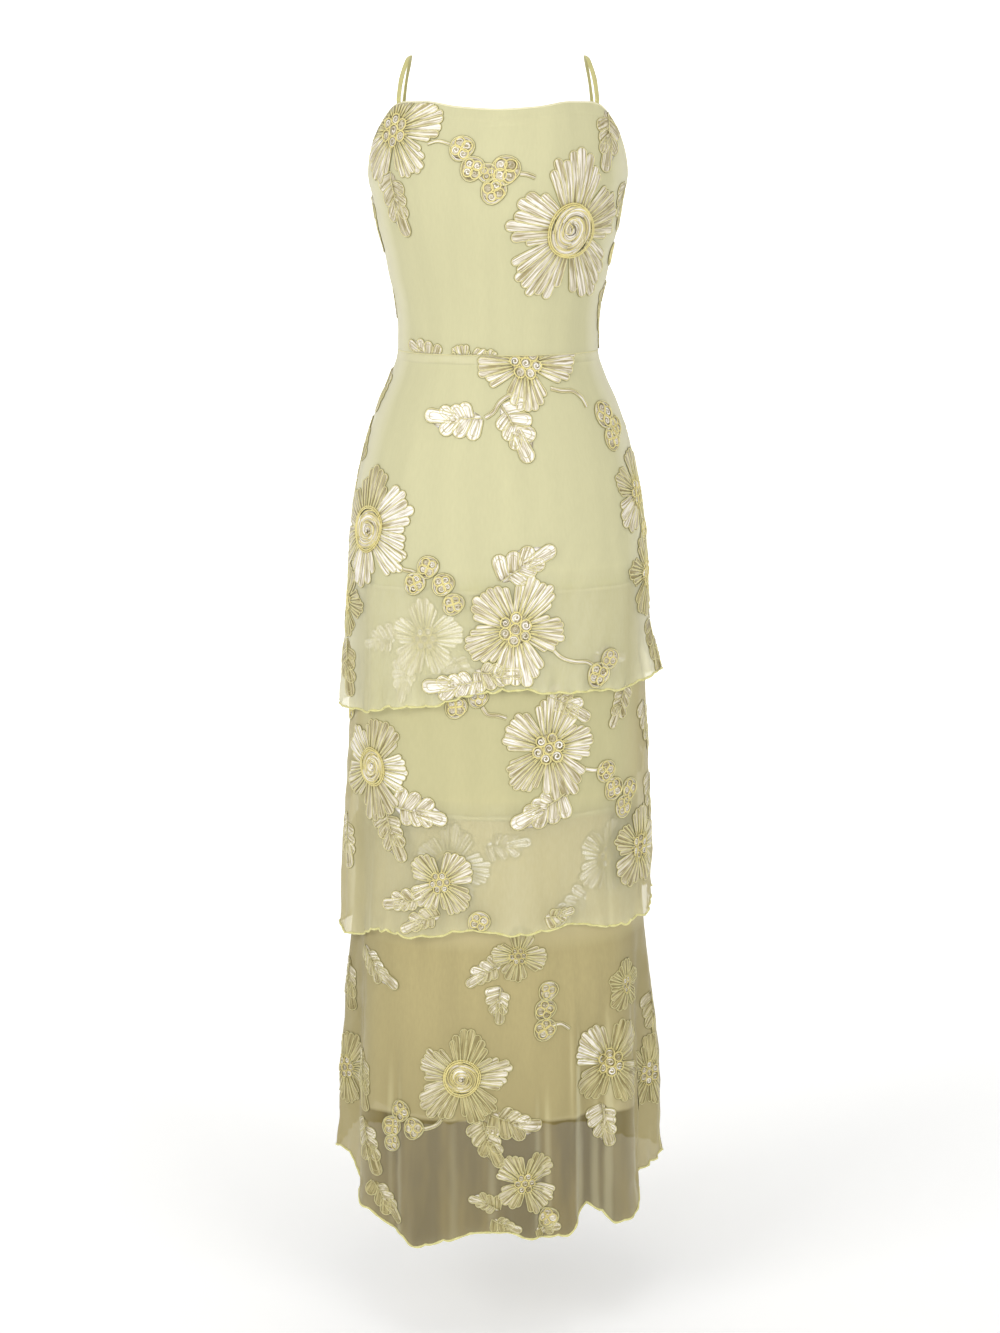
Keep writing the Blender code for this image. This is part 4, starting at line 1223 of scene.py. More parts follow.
    def disc(self, radius, tone, lift=-0.0002, crown=0.0006, at=(0.0, 0.0)):
        """A flat round of ground under a heart or a berry."""
        x = np.linspace(-0.97, 0.97, 7) * radius
        self.lay(np.stack([at[0] + x, np.full(7, at[1])], -1), 2 * np.sqrt(radius**2 - x**2), tone, lift, crown)

    def petal(self, middle, spread, inner, outer, fingers, tone, lift=0.0, slit=0.10, ragged=0.05):
        """A fan of fingers round an angle of the flower, the longest in its middle."""
        random = self.random
        step = spread / fingers
        fan = 0.74 + 0.08 * random.uniform(-1, 1)
        loose = random.uniform(0.2, 1.0)                    # some petals' hairpins stand open, others lie shut
        for i in sorted(range(fingers), key=lambda k: -abs(k - (fingers - 1) / 2)):
            x = (i + 0.5) / fingers * 2 - 1
            angle = math.radians(middle + x * spread / 2 + random.uniform(-1.2, 1.2))
            leaves = math.radians(middle + x * (spread / 2 + 4.0))
            reach = outer * (1 - (1 - fan) * abs(x) ** 2.4 + random.uniform(-ragged, ragged))
            half_tip = 0.5 * math.radians(step) * (reach - 0.003) * random.uniform(0.92, 1.06)
            half_base = max(0.5 * math.radians((spread + 8.0) / fingers) * inner, 0.0008)
            self.finger((inner * math.cos(leaves), inner * math.sin(leaves)),
                        (reach * math.cos(angle), reach * math.sin(angle)), half_base, half_tip,
                        tone + random.uniform(-0.10, 0.10), lift + 0.00022 * (i % 2),
                        bend=-0.0010 * x + random.uniform(-0.0007, 0.0007),
                        slit=max(0.0, random.uniform(-0.9, 1.0)) * loose if random.random() < 0.6 else slit * 0.5)

    def circle(self, at, radius, count, wobble=0.04):
        t = np.linspace(0, 2 * np.pi, count) + self.random.uniform(0, 6)
        r = radius * (1 + wobble * np.sin(2 * t) + 0.6 * wobble * np.sin(3 * t + 1.0))
        return np.stack([at[0] + r * np.cos(t), at[1] + r * np.sin(t)], -1)

    def curl(self, at, radius, lift=0.0006, tone=0.10, turns=1.25):
        """Narrow tape wound in a small scroll inside a ring of thread; open in its middle."""
        random = self.random
        t = np.linspace(0, 1, 14 if self.fine else 9)
        angle = random.uniform(0, 6) + t * turns * 2 * np.pi
        r = radius * (0.20 + 0.52 * t)
        line = np.stack([at[0] + r * np.cos(angle), at[1] + r * np.sin(angle)], -1)
        self.lay(line, radius * 0.27, tone, lift, 0.0011)
        self.cord(self.circle(at, radius * 0.94, 13 if self.fine else 9), min(0.00095, radius * 0.18), lift + 0.0006,
                  heart=True)

    def coil_heart(self, radius):
        """A cluster of curls: one in the middle and a ring of them, with stitches out to the petals."""
        random = self.random
        small = radius * 0.37
        self.disc(radius * 1.02, 0.60, 0.0001)
        self.curl((0, 0), small, 0.0010, self.gold * 0.2)
        ring = 6
        first = random.uniform(0, 1)
        for i in range(ring):
            angle = 2 * math.pi * (i + first + random.uniform(-0.06, 0.06)) / ring
            far = radius * random.uniform(0.68, 0.76)
            self.curl((far * math.cos(angle), far * math.sin(angle)), small * random.uniform(0.88, 1.06), 0.0007,
                      self.gold * random.uniform(-1.7, 0.4))
        count = 20 if self.fine else 12
        for i in range(count):
            angle = 2 * math.pi * (i + random.uniform(-0.3, 0.3)) / count
            way = np.array([math.cos(angle), math.sin(angle)])
            far = radius * random.uniform(1.14, 1.45)
            self.cord(np.array([way * radius * 0.98, way * far]), 0.00060, 0.0013, 0, 0.0, True)

    def rose_heart(self, radius):
        """A rose: overlapping arcs of tape that wind inwards, thread along each, and two rings of thread outside."""
        random = self.random
        self.disc(radius * 1.02, 0.62, 0.0)
        first = random.uniform(0, 6)
        aside = np.array([random.uniform(-0.10, 0.10), random.uniform(-0.10, 0.10)]) * radius
        count = 9 if self.fine else 7
        t = np.linspace(0, 1, count)
        for ring, (share, arcs, span) in enumerate(((0.86, 5, 96.0), (0.68, 4, 118.0), (0.50, 3, 145.0), (0.33, 3, 150.0),
                                                    (0.15, 1, 320.0))):
            width = radius * 0.205 + 0.0004
            for i in range(arcs):
                begin = first + 2 * math.pi * (i + random.uniform(-0.14, 0.14)) / arcs + ring * 1.1
                angle = begin + math.radians(span * random.uniform(0.85, 1.15)) * t
                far = radius * (share * 1.07 - random.uniform(0.12, 0.24) * t * (0.4 + 0.6 * share))
                far = np.minimum(far * (1 + 0.05 * np.sin(2 * angle + first)), radius * 0.93)
                line = np.stack([far * np.cos(angle), far * np.sin(angle) * 0.96], -1) + aside * (1 - share)
                dull = self.gold * random.uniform(-1.2, 1.7)
                lift = 0.0003 + 0.00028 * ring + 0.00030 * t
                self.lay(line, width * np.sqrt(np.sin(np.pi * (0.10 + 0.80 * t))), dull, lift, 0.0010)
                edge = line * ((far + width * 0.5) / far)[:, None]
                self.cord(edge, 0.00070, lift + 0.0007, 0, 0.0, True)
        for k, far in enumerate((radius + 0.0002, radius + 0.0022)):
            self.cord(self.circle((0, 0), far, 36 if self.fine else 24, 0.035), 0.00105 - 0.0001 * k, 0.0010, 1, 0.0,
                      True)

    def flower(self, radius, heart, petals, tones, per_petal=6, heart_share=0.30):
        inner = radius * heart_share
        span = 360.0 / petals
        gap = {4: 15.0, 5: 7.0, 6: 5.0}[petals]
        ragged = 0.050 if heart == "coils" else 0.080
        for i in range(petals):
            fingers = per_petal + (0, 1, -1, 1, 0, 1)[(i * 5 + petals) % 6]
            middle = span * i + self.random.uniform(-0.05, 0.05) * span
            self.petal(middle, span * self.random.uniform(0.92, 1.06) - gap, inner * 0.90,
                       radius * (1 + 0.08 * math.sin(2.4 * i + self.turn)), max(4, fingers),
                       tones[i % len(tones)] * 0.62, 0.00030 * (i % 2), ragged=ragged)
        if heart == "coils":
            self.coil_heart(inner * 0.98)
        else:
            self.rose_heart(inner * 0.94)

    def leaf(self, length, width, lobes, tone, bend=0.0):
        """A winged leaf: one solid mass of tape, its rim in rounded lobes, deep on one side and shallow on the other."""
        random = self.random

        def rib(t):
            return np.array([length * t, bend * length * t * t])

        broad = 1.0 if bend <= 0 else -1.0
        stretch = width / (0.62 * length)
        lobe = length * {2: 0.150, 3: 0.116, 4: 0.094}[lobes]
        spine = np.array([rib(t) + np.array([0.0, broad * 0.055 * length * stretch * math.sin(math.pi * t)])
                          for t in np.linspace(0.03, 0.86, 9)])
        swell = np.array([0.10, 0.26, 0.36, 0.40, 0.40, 0.37, 0.31, 0.23, 0.14]) * length * stretch
        self.lay(spine, swell, tone + 0.06, -0.0001, 0.0006)
        first, last = (0.17, 0.67)
        for side, ahead, out, half in ((broad, (first, last), (0.345, 0.245), lobe),
                                       (-broad, (first + 0.14, last + 0.06), (0.225, 0.150), lobe * 0.86)):
            for j in range(lobes):
                share = j / max(lobes - 1, 1)
                tip_at = ahead[0] + (ahead[1] - ahead[0]) * share + random.uniform(-0.02, 0.02)
                away = (out[0] + (out[1] - out[0]) * share) * stretch * random.uniform(0.92, 1.08) * length
                root = rib(max(0.02, tip_at - 0.10 - 0.12 * share))
                here, further = rib(tip_at), rib(tip_at + 0.03)
                heading = further - here
                heading /= np.linalg.norm(heading)
                end = here + np.array([-heading[1], heading[0]]) * side * away
                reach = np.linalg.norm(end - root)
                self.finger(root, end, half * 0.72, half * random.uniform(0.92, 1.06), tone + random.uniform(-0.08, 0.10),
                            0.00012 * j, -side * reach * random.uniform(0.02, 0.09),
                            max(0.0, random.uniform(-1.4, 0.7)), True)
        self.finger(rib(0.46), rib(1.0), lobe * 0.60, lobe * 0.98, tone, 0.00012 * lobes,
                    random.uniform(-0.0012, 0.0012), 0.15, True)
        self.cord(np.array([rib(t) for t in np.linspace(0.0, 0.40, 6)]), 0.0006, 0.0015, 0, 0.0)

    def berry(self, radius, tone=0.15):
        """A round of thread and tape with scrolls inside it and a darker ground showing between them."""
        random = self.random
        self.disc(radius - 0.0010, 0.56, -0.0001, 0.0005)
        count = 19 if self.fine else 14
        line = self.circle((0, 0), radius - 0.0016, count, 0.07)
        line[-1] = line[0]
        self.lay(line, 0.0015, tone * 0.6, 0.0003, 0.0009)
        middle = line[:-1].mean(0)
        self.cord(middle + (line - middle) * (radius / (radius - 0.0016)), 0.00090, 0.0008, 1)
        inside = radius - 0.0020
        curls = 4 if radius > 0.0112 else 3
        first = random.uniform(0, 6)
        for i in range(curls):
            angle = first + 2 * math.pi * (i + random.uniform(-0.08, 0.08)) / curls
            far = inside * (0.56 if curls == 4 else 0.52)
            self.curl((far * math.cos(angle), far * math.sin(angle)), inside * random.uniform(0.46, 0.54), 0.0005,
                      self.gold * random.uniform(-1.3, 0.4), 1.15)

    def stem(self, line, width=0.0034, tone=0.1):
        """A curved run of tape with thread on both edges, through a few points."""
        line = np.asarray(line, float)
        fine = []
        for i in range(len(line) - 1):
            p0, p1, p2, p3 = line[max(i - 1, 0)], line[i], line[i + 1], line[min(i + 2, len(line) - 1)]
            for u in np.linspace(0, 1, 5, endpoint=False):
                fine.append(0.5 * (2 * p1 + (p2 - p0) * u + (2 * p0 - 5 * p1 + 4 * p2 - p3) * u * u
                                   + (3 * p1 - p0 - 3 * p2 + p3) * u**3))
        fine = np.array(fine + [line[-1]])
        self.lay(fine, width * np.linspace(1.1, 0.70, len(fine)), tone * 0.6, 0.0, 0.0008)
        _, right = both_sides(fine)
        for side in (-1, 1):
            self.cord(fine + right * side * (width / 2 + 0.0002), 0.00060, 0.0006, side)


ARC = {}


def arc_table(layer, height):
    """Arc length round a layer at a height, from the centre front, for angles past both sides."""
    key = (layer, round(float(height), 3))
    if key not in ARC:
        angles = np.linspace(-290.0, 290.0, 1161)
        point, out = slip_ring(angles, np.full_like(angles, key[1]))
        points = point + out * stand_off(layer, angles, np.full_like(angles, key[1]))[..., None]
        length = np.concatenate([[0], np.cumsum(np.linalg.norm(np.diff(points, axis=0), axis=1))])
        length -= np.interp(0.0, angles, length)
        ARC[key] = (angles, length)
    return ARC[key]


def panel_limits(layer, side):
    middle = 0.0 if side == "front" else 180.0
    return middle - 89.75, middle + 89.75


def close_cuts(quads):
    """Triangles that close every open loop that a cut has left in a mesh of quads."""
    pairs = np.stack([quads.ravel(), np.roll(quads, -1, axis=1).ravel()], -1).tolist()
    known = {(a, b) for a, b in pairs}
    after = {}
    for a, b in pairs:
        if (b, a) not in known:             # the face that is missing runs the other way round
            after.setdefault(b, []).append(a)
    fans = []
    for start in sorted(after):
        while after[start]:
            loop, here = [start], after[start].pop()
            while here != start and after[here]:
                loop.append(here)
                here = after[here].pop()
            fans += [(loop[0], loop[i], loop[i + 1]) for i in range(1, len(loop) - 1)]
    return np.array(fans, int) if fans else None


class Embroidery:
    """All the motifs of one panel, placed on its cloth."""

    def __init__(self, layer, side, seed):
        self.layer, self.side = layer, side
        self.random = np.random.default_rng(seed)
        self.tape, self.thread = Soup(), Soup()

    def place(self, motif, angle, height, size=1.0, turn=0.0):
        """Lays a motif's points on the cloth as angle, height and lift."""
        layer = self.layer
        angles, lengths = arc_table(layer, height)
        here = np.interp(angle, angles, lengths)
        probe = cloth(layer, np.array([angle, angle]), np.array([height - 0.006, height + 0.006]))
        slope = float(np.linalg.norm(probe[1] - probe[0])) / 0.012
        wide_here = SECTION(np.array([height]))[0, 0]
        c, s = math.cos(math.radians(turn)), math.sin(math.radians(turn))
        for own, soup in ((motif.tape, self.tape), (motif.thread, self.thread)):
            if not own.points:
                continue
            points = np.concatenate(own.points)
            x, y = points[:, 0] * size, points[:, 1] * size
            u, v = x * c - y * s, x * s + y * c
            at_height = height + v / slope
            ratio = wide_here / SECTION(at_height)[:, 0]
            at_angle = np.interp(here + u * ratio, lengths, angles)
            soup.add(np.stack([at_angle, at_height, points[:, 2]], -1), np.concatenate(own.quads),
                     np.concatenate(own.uv), np.concatenate(own.tone))

    def finish(self, name):
        """Cuts what crosses a seam or an edge, and puts everything on the cloth."""
        low_angle, high_angle = panel_limits(self.layer, self.side)
        made = []
        for kind, soup in (("ribbon", self.tape), ("thread", self.thread)):
            if not soup.points:
                continue
            points, quads = np.concatenate(soup.points), np.concatenate(soup.quads)
            uv, tone = np.concatenate(soup.uv), np.concatenate(soup.tone)
            angle, height, lift = points.T
            over = np.zeros(len(points), int)
            over[angle < low_angle] |= 1
            over[angle > high_angle] |= 2
            angle = np.clip(angle, low_angle, high_angle)
            if self.layer == "bodice":
                low, high = np.full_like(angle, WAIST_SEAM + 0.0010), top_edge(angle) - 0.0014
            else:
                low, high = hem_line(self.layer, angle) + 0.0014, np.full_like(angle, TIER_TOP[self.layer] - 0.0006)
            over[height < low] |= 4
            over[height > high] |= 8
            height = np.clip(height, low, high)
            cut = (over[quads[:, 0]] & over[quads[:, 1]] & over[quads[:, 2]] & over[quads[:, 3]]) > 0
            quads = quads[~cut]
            used = np.unique(quads)
            renumber = np.zeros(len(points), int)
            renumber[used] = np.arange(len(used))
            quads = renumber[quads]
            angle, height, lift, uv, tone = angle[used], height[used], lift[used], uv[used], tone[used]
            place = cloth(self.layer, angle, height) + facing(self.layer, angle, height) * (lift + 0.0001)[:, None]
            made.append(make_piece(name + "_" + kind, place, quads, uv, MATERIAL[kind], tone=tone,
                                   triangles=close_cuts(quads)))
        return made


# Motifs: kind, angle, height, size (radius or length in metres), turn, tone, and what else the kind needs.
MOTIF_COLUMNS = ("kind", "angle", "height", "size", "turn", "tone", "more")
WHITE, MIXED, GREEN = (0.05,), (0.1, 0.65), (0.6,)
MOTIFS = {
    ("bodice", "front"): (
        ("coil_flower", -53.0, -0.0760, 0.058, 16.0, (0.05, 0.6, 0.75, 0.25, 0.05), (5, 7)),
        ("leaf", -53.5, -0.1180, 0.068, -86.0, 0.55, (0.044, 5, 0.10)),
        ("berry", -15.7, -0.0945, 0.0130, 0.0, 0.15, ()),
        ("berry", -10.9, -0.1150, 0.0125, 0.0, 0.15, ()),
        ("berry", -4.4, -0.1190, 0.0095, 0.0, 0.15, ()),
        ("berry", 3.2, -0.1165, 0.0150, 0.0, 0.15, ()),
        ("berry", -1.9, -0.1375, 0.0130, 0.0, 0.15, ()),
        ("stem", -32.0, -0.0900, 0.62, 0.0, 0.35, ((0, 0), (0.012, 0.003), (0.024, 0.000), (0.032, -0.004))),
        ("stem", 9.5, -0.1200, 1.0, 0.0, 0.70, ((0, 0), (0.008, -0.001), (0.016, -0.004))),
        ("rose_flower", 37.0, -0.1790, 0.077, 92.0, (0.05, 0.12, 0.10, 0.35, 0.75), (5, 7)),
        ("leaf", 60.0, -0.0530, 0.070, -96.0, 0.45, (0.046, 5, -0.08)),
        ("leaf", 78.0, -0.1300, 0.050, -95.0, 0.5, (0.034, 4, 0.10)),
        ("berry", 83.0, -0.2050, 0.0120, 0.0, 0.3, ()),
        ("leaf", 84.0, -0.2350, 0.055, -88.0, 0.8, (0.034, 4, 0.0)),
        ("leaf", -37.0, -0.3200, 0.046, 146.0, 0.1, (0.034, 4, 0.1)),
        ("coil_flower", -19.0, -0.3260, 0.030, 40.0, (0.1, 0.2), (6, 5)),
        ("coil_flower", -6.0, -0.3290, 0.026, 10.0, (0.15, 0.3), (5, 5)),
        ("leaf", -86.0, -0.1450, 0.060, -95.0, 0.5, (0.034, 4, 0.05)),
    ),
    ("bodice", "back"): (
        ("coil_flower", 128.0, -0.1990, 0.050, 15.0, (0.15, 0.5, 0.25, 0.4), (5, 7)),
        ("leaf", 148.0, -0.2350, 0.060, -40.0, 0.2, (0.036, 5, 0.10)),
        ("rose_flower", 205.0, -0.2150, 0.056, 40.0, (0.1, 0.3, 0.6, 0.15), (5, 7)),
        ("leaf", 182.0, -0.1660, 0.048, 150.0, 0.2, (0.034, 4, 0.10)),
        ("berry", 236.0, -0.1720, 0.0130, 0.0, 0.15, ()),
        ("berry", 230.0, -0.1900, 0.0120, 0.0, 0.15, ()),
        ("berry", 241.0, -0.1920, 0.0125, 0.0, 0.15, ()),
        ("leaf", 252.0, -0.2300, 0.055, -60.0, 0.4, (0.034, 4, 0.10)),
        ("coil_flower", 165.0, -0.3120, 0.040, 0.0, (0.1, 0.4), (5, 6)),
        ("coil_flower", 100.0, -0.2900, 0.038, 0.0, (0.3, 0.5), (5, 6)),
        ("stem", 150.0, -0.1700, 1.0, 0.0, 0.15, ((0, 0), (0.014, 0.006), (0.030, 0.004), (0.040, -0.004))),
    ),
    ("tier1", "front"): (
        ("coil_flower", 15.5, -0.3170, 0.054, -90.0, (0.25, 0.12, 0.3, 0.2), (4, 7)),
        ("leaf", -7.0, -0.3740, 0.064, 184.0, -0.42, (0.044, 5, -0.10)),
        ("leaf", 1.5, -0.3600, 0.068, -58.0, -0.12, (0.044, 5, -0.10)),
        ("stem", 9.0, -0.3480, 1.0, 0.0, 0.15, ((0, 0), (-0.010, -0.004), (-0.018, -0.010), (-0.025, -0.020), (-0.034, -0.026))),
        ("stem", 28.0, -0.3440, 1.0, 0.0, 0.12, ((0, 0), (0.012, -0.003), (0.026, -0.004), (0.036, -0.012), (0.040, -0.022))),
        ("berry", 59.2, -0.3746, 0.0150, 0.0, 0.35, ()),
        ("berry", 60.4, -0.4010, 0.0130, 0.0, 0.35, ()),
        ("berry", 67.0, -0.3880, 0.0120, 0.0, 0.4, ()),
        ("coil_flower", 74.5, -0.4620, 0.046, 10.0, (0.5, 0.8, 0.9, 0.2), (5, 6)),
        ("rose_flower", -61.5, -0.4990, 0.064, 28.0, (-0.25, 0.95, 1.0, 0.9, -0.15, -0.4), (6, 6)),
        ("stem", -42.0, -0.5330, 1.0, 0.0, 0.15, ((0, 0), (0.010, -0.005), (0.020, -0.006), (0.030, -0.010))),
        ("berry", -27.3, -0.5332, 0.0120, 0.0, 0.15, ()),
        ("berry", -33.0, -0.5520, 0.0120, 0.0, 0.15, ()),
        ("berry", -21.0, -0.5510, 0.0120, 0.0, 0.15, ()),
        ("berry", -16.9, -0.5720, 0.0115, 0.0, 0.15, ()),
        ("coil_flower", 6.5, -0.5985, 0.057, 62.0, (-0.25, 0.18, 0.28, -0.15, 0.28), (5, 7)),
        ("leaf", 1.0, -0.5470, 0.068, 36.0, -0.15, (0.044, 5, -0.10)),
        ("leaf", -6.0, -0.6540, 0.066, 193.0, -0.20, (0.036, 5, -0.08)),
        ("leaf", -9.0, -0.6450, 0.052, -4.0, 0.2, (0.034, 4, 0.05)),
        ("stem", 21.0, -0.6220, 0.85, 0.0, 0.1, ((0, 0), (0.010, -0.009), (0.024, -0.014), (0.040, -0.016), (0.050, -0.024))),
        ("berry", 40.6, -0.6530, 0.0135, 0.0, 0.2, ()),
        ("berry", 46.6, -0.6370, 0.0110, 0.0, 0.2, ()),
        # The next six motifs lie by the side seams: their deep tones, up to 1.5, are painted shade where the flounce
        # turns away.
        ("coil_flower", 79.0, -0.5520, 0.044, 30.0, (1.5, 1.2, 1.4), (5, 6)),
        ("leaf", 82.0, -0.6060, 0.060, -95.0, 1.2, (0.034, 4, 0.05)),
        ("leaf", -76.0, -0.6250, 0.064, -84.0, 1.2, (0.036, 5, 0.06)),
        ("coil_flower", -82.0, -0.5850, 0.040, 0.0, (1.5, 1.3), (5, 6)),
        ("leaf", -83.0, -0.4300, 0.050, 100.0, 1.1, (0.030, 4, 0.05)),
        ("berry", 80.0, -0.5040, 0.0120, 0.0, 0.9, ()),
        ("leaf", -86.0, -0.3300, 0.050, -80.0, 0.5, (0.034, 4, 0.05)),
    ),
    ("tier1", "back"): (
        ("rose_flower", 120.0, -0.4050, 0.052, 30.0, (0.1, 0.4, 0.3, 0.15), (5, 6)),
        ("leaf", 134.0, -0.4450, 0.064, -35.0, 0.15, (0.038, 5, 0.10)),
        ("leaf", 114.0, -0.4560, 0.058, -105.0, 0.2, (0.036, 5, -0.10)),
        ("coil_flower", 205.0, -0.3700, 0.052, 12.0, (0.08, 0.2, 0.35, 0.15), (5, 7)),
        ("leaf", 190.0, -0.4150, 0.060, 205.0, 0.12, (0.036, 5, 0.10)),
        ("berry", 228.0, -0.4060, 0.0130, 0.0, 0.2, ()),
        ("berry", 234.0, -0.4240, 0.0125, 0.0, 0.2, ()),
        ("berry", 224.0, -0.4270, 0.0120, 0.0, 0.2, ()),
        ("stem", 216.0, -0.3980, 1.0, 0.0, 0.12, ((0, 0), (0.010, -0.003), (0.020, -0.004), (0.028, -0.008))),
        ("coil_flower", 166.0, -0.5400, 0.055, 40.0, (0.05, 0.15, 0.1, 0.3, 0.1), (5, 7)),
        ("leaf", 172.0, -0.4850, 0.060, 60.0, 0.1, (0.036, 5, 0.10)),
        ("leaf", 186.0, -0.5800, 0.066, -25.0, 0.1, (0.036, 5, 0.10)),
        ("berry", 146.0, -0.6000, 0.0130, 0.0, 0.15, ()),
        ("berry", 150.0, -0.6200, 0.0125, 0.0, 0.15, ()),
        ("berry", 140.0, -0.6180, 0.0120, 0.0, 0.15, ()),
        ("rose_flower", 232.0, -0.5500, 0.050, 80.0, (0.15, 0.5, 0.3, 0.1), (5, 6)),
        ("leaf", 218.0, -0.6050, 0.062, -60.0, 0.2, (0.036, 5, 0.10)),
        ("coil_flower", 108.0, -0.5850, 0.046, 0.0, (0.3, 0.5, 0.2), (5, 6)),
        ("leaf", 256.0, -0.6150, 0.060, -100.0, 0.3, (0.036, 5, 0.10)),
        ("coil_flower", 260.0, -0.4600, 0.044, 20.0, (0.3, 0.2), (5, 6)),
        ("leaf", 200.0, -0.6500, 0.050, 10.0, 0.1, (0.030, 4, 0.10)),
    ),
    ("tier2", "front"): (
        ("coil_flower", -29.0, -0.6120, 0.042, 20.0, (-0.62, -0.50), (5, 6)),
        ("leaf", -43.0, -0.6150, 0.048, 190.0, -0.45, (0.034, 4, 0.10)),
        ("leaf", -36.0, -0.6400, 0.046, -110.0, -0.30, (0.034, 4, 0.10)),
        ("leaf", -18.0, -0.6300, 0.040, -50.0, -0.45, (0.032, 4, 0.10)),
        ("leaf", 40.0, -0.6300, 0.046, -20.0, -0.30, (0.034, 4, 0.10)),
        ("berry", -16.2, -0.6850, 0.0120, 0.0, 0.15, ()),
        ("berry", -7.6, -0.6740, 0.0105, 0.0, 0.15, ()),
        ("stem", -6.0, -0.6840, 1.0, 0.0, 0.2, ((0, 0), (0.006, -0.008), (0.016, -0.009), (0.026, -0.012))),
        ("leaf", 19.0, -0.6730, 0.056, -22.0, 0.12, (0.030, 4, -0.16)),
        ("leaf", 58.0, -0.6700, 0.050, -110.0, 0.35, (0.030, 4, -0.10)),
        ("coil_flower", 19.8, -0.7310, 0.056, 78.0, (-0.25, 0.15, 0.38, 0.02, 0.08), (5, 7)),
        ("leaf", 26.5, -0.7810, 0.068, 216.0, -0.15, (0.044, 5, -0.10)),
        ("stem", 34.0, -0.7560, 1.0, 0.0, 0.12, ((0, 0), (0.012, -0.003), (0.022, -0.004), (0.030, -0.002))),
        ("berry", 45.8, -0.7620, 0.0120, 0.0, 0.2, ()),
        ("berry", 49.8, -0.7830, 0.0125, 0.0, 0.2, ()),
        ("berry", 60.0, -0.7880, 0.0125, 0.0, 0.3, ()),
        ("berry", 55.5, -0.8050, 0.0125, 0.0, 0.25, ()),
        ("rose_flower", -57.0, -0.7620, 0.053, 68.0, (0.60, -0.20, 0.45, 0.50, -0.70), (5, 7)),
        ("leaf", -43.5, -0.8010, 0.064, -6.0, -0.20, (0.046, 5, -0.06)),
        ("leaf", -47.5, -0.8060, 0.060, -72.0, 0.5, (0.040, 5, 0.10)),
        ("coil_flower", -22.6, -0.8810, 0.038, 45.0, (0.1, 0.5, 0.12, 0.45), (4, 6)),
        ("leaf", -29.0, -0.9010, 0.052, 188.0, 0.15, (0.030, 4, 0.10)),
        ("leaf", -22.6, -0.9180, 0.046, 198.0, 0.35, (0.028, 4, 0.10)),
        ("berry", -7.2, -0.9230, 0.0120, 0.0, 0.2, ()),
        ("coil_flower", 66.0, -0.8560, 0.045, 10.0, (0.6, 0.4, 1.0), (5, 6)),
        ("leaf", 18.0, -0.9180, 0.034, 4.0, 0.1, (0.022, 4, 0.05)),
        ("leaf", -76.0, -0.8250, 0.060, -85.0, 0.35, (0.036, 5, 0.10)),
        ("berry", -80.0, -0.7050, 0.0130, 0.0, 0.3, ()),
        ("leaf", 77.0, -0.6950, 0.060, -80.0, 0.4, (0.034, 4, 0.10)),
        ("leaf", 82.0, -0.7800, 0.050, -95.0, 0.4, (0.034, 4, 0.05)),
    ),
    ("tier2", "back"): (
        ("coil_flower", 118.0, -0.7500, 0.048, 30.0, (0.1, 0.3, 0.15), (5, 7)),
        ("leaf", 130.0, -0.7900, 0.062, -30.0, 0.15, (0.038, 5, 0.10)),
        ("berry", 142.0, -0.7350, 0.0130, 0.0, 0.2, ()),
        ("berry", 147.0, -0.7520, 0.0125, 0.0, 0.2, ()),
        ("berry", 138.0, -0.7580, 0.0120, 0.0, 0.2, ()),
        ("rose_flower", 172.0, -0.7950, 0.052, 10.0, (0.1, 0.4, 0.15, 0.5, 0.1), (5, 7)),
        ("leaf", 184.0, -0.8400, 0.062, -40.0, 0.1, (0.038, 5, 0.10)),
        ("leaf", 162.0, -0.8500, 0.060, -110.0, 0.25, (0.036, 5, 0.10)),
        ("coil_flower", 214.0, -0.7400, 0.048, 0.0, (0.1, 0.15, 0.4), (5, 6)),
        ("leaf", 226.0, -0.7780, 0.062, -48.0, 0.1, (0.038, 5, 0.10)),
        ("berry", 205.0, -0.8850, 0.0130, 0.0, 0.2, ()),
        ("berry", 211.0, -0.9000, 0.0125, 0.0, 0.2, ()),
        ("coil_flower", 238.0, -0.8700, 0.044, 15.0, (0.3, 0.15, 0.5), (5, 6)),
        ("coil_flower", 134.0, -0.8900, 0.042, 0.0, (0.1, 0.4), (5, 6)),
        ("leaf", 108.0, -0.8500, 0.060, -80.0, 0.3, (0.036, 5, 0.10)),
        ("coil_flower", 170.0, -0.6300, 0.044, 0.0, (0.1, 0.3), (5, 6)),
        ("leaf", 196.0, -0.6500, 0.052, -40.0, 0.1, (0.034, 4, 0.10)),
        ("leaf", 258.0, -0.7600, 0.060, -90.0, 0.3, (0.036, 5, 0.10)),
        ("coil_flower", 128.0, -0.6200, 0.040, 0.0, (0.2, 0.3), (5, 6)),
        ("coil_flower", 232.0, -0.6400, 0.040, 0.0, (0.2, 0.3), (5, 6)),
    ),
    ("tier3", "front"): (
        ("rose_flower", -19.5, -0.8640, 0.044, 0.0, (-0.75, -0.55), (5, 6)),
        ("leaf", -5.0, -0.8400, 0.050, 0.0, -0.70, (0.034, 4, 0.10)),
        ("coil_flower", 50.0, -0.8620, 0.042, 0.0, (-0.75, -0.65), (5, 6)),
        ("leaf", 38.0, -0.9000, 0.050, 215.0, -0.70, (0.034, 4, 0.10)),
        ("coil_flower", 8.0, -0.9640, 0.030, 80.0, (0.12, 0.5, 0.15, 0.45), (4, 6)),
        ("leaf", 1.2, -0.9740, 0.044, 206.0, -0.2, (0.030, 4, 0.10)),
        ("leaf", 1.0, -0.9980, 0.042, -96.0, -0.2, (0.030, 4, 0.10)),
        ("berry", 20.0, -1.0050, 0.0110, 0.0, 0.25, ()),
        ("berry", 18.6, -1.0260, 0.0120, 0.0, 0.25, ()),
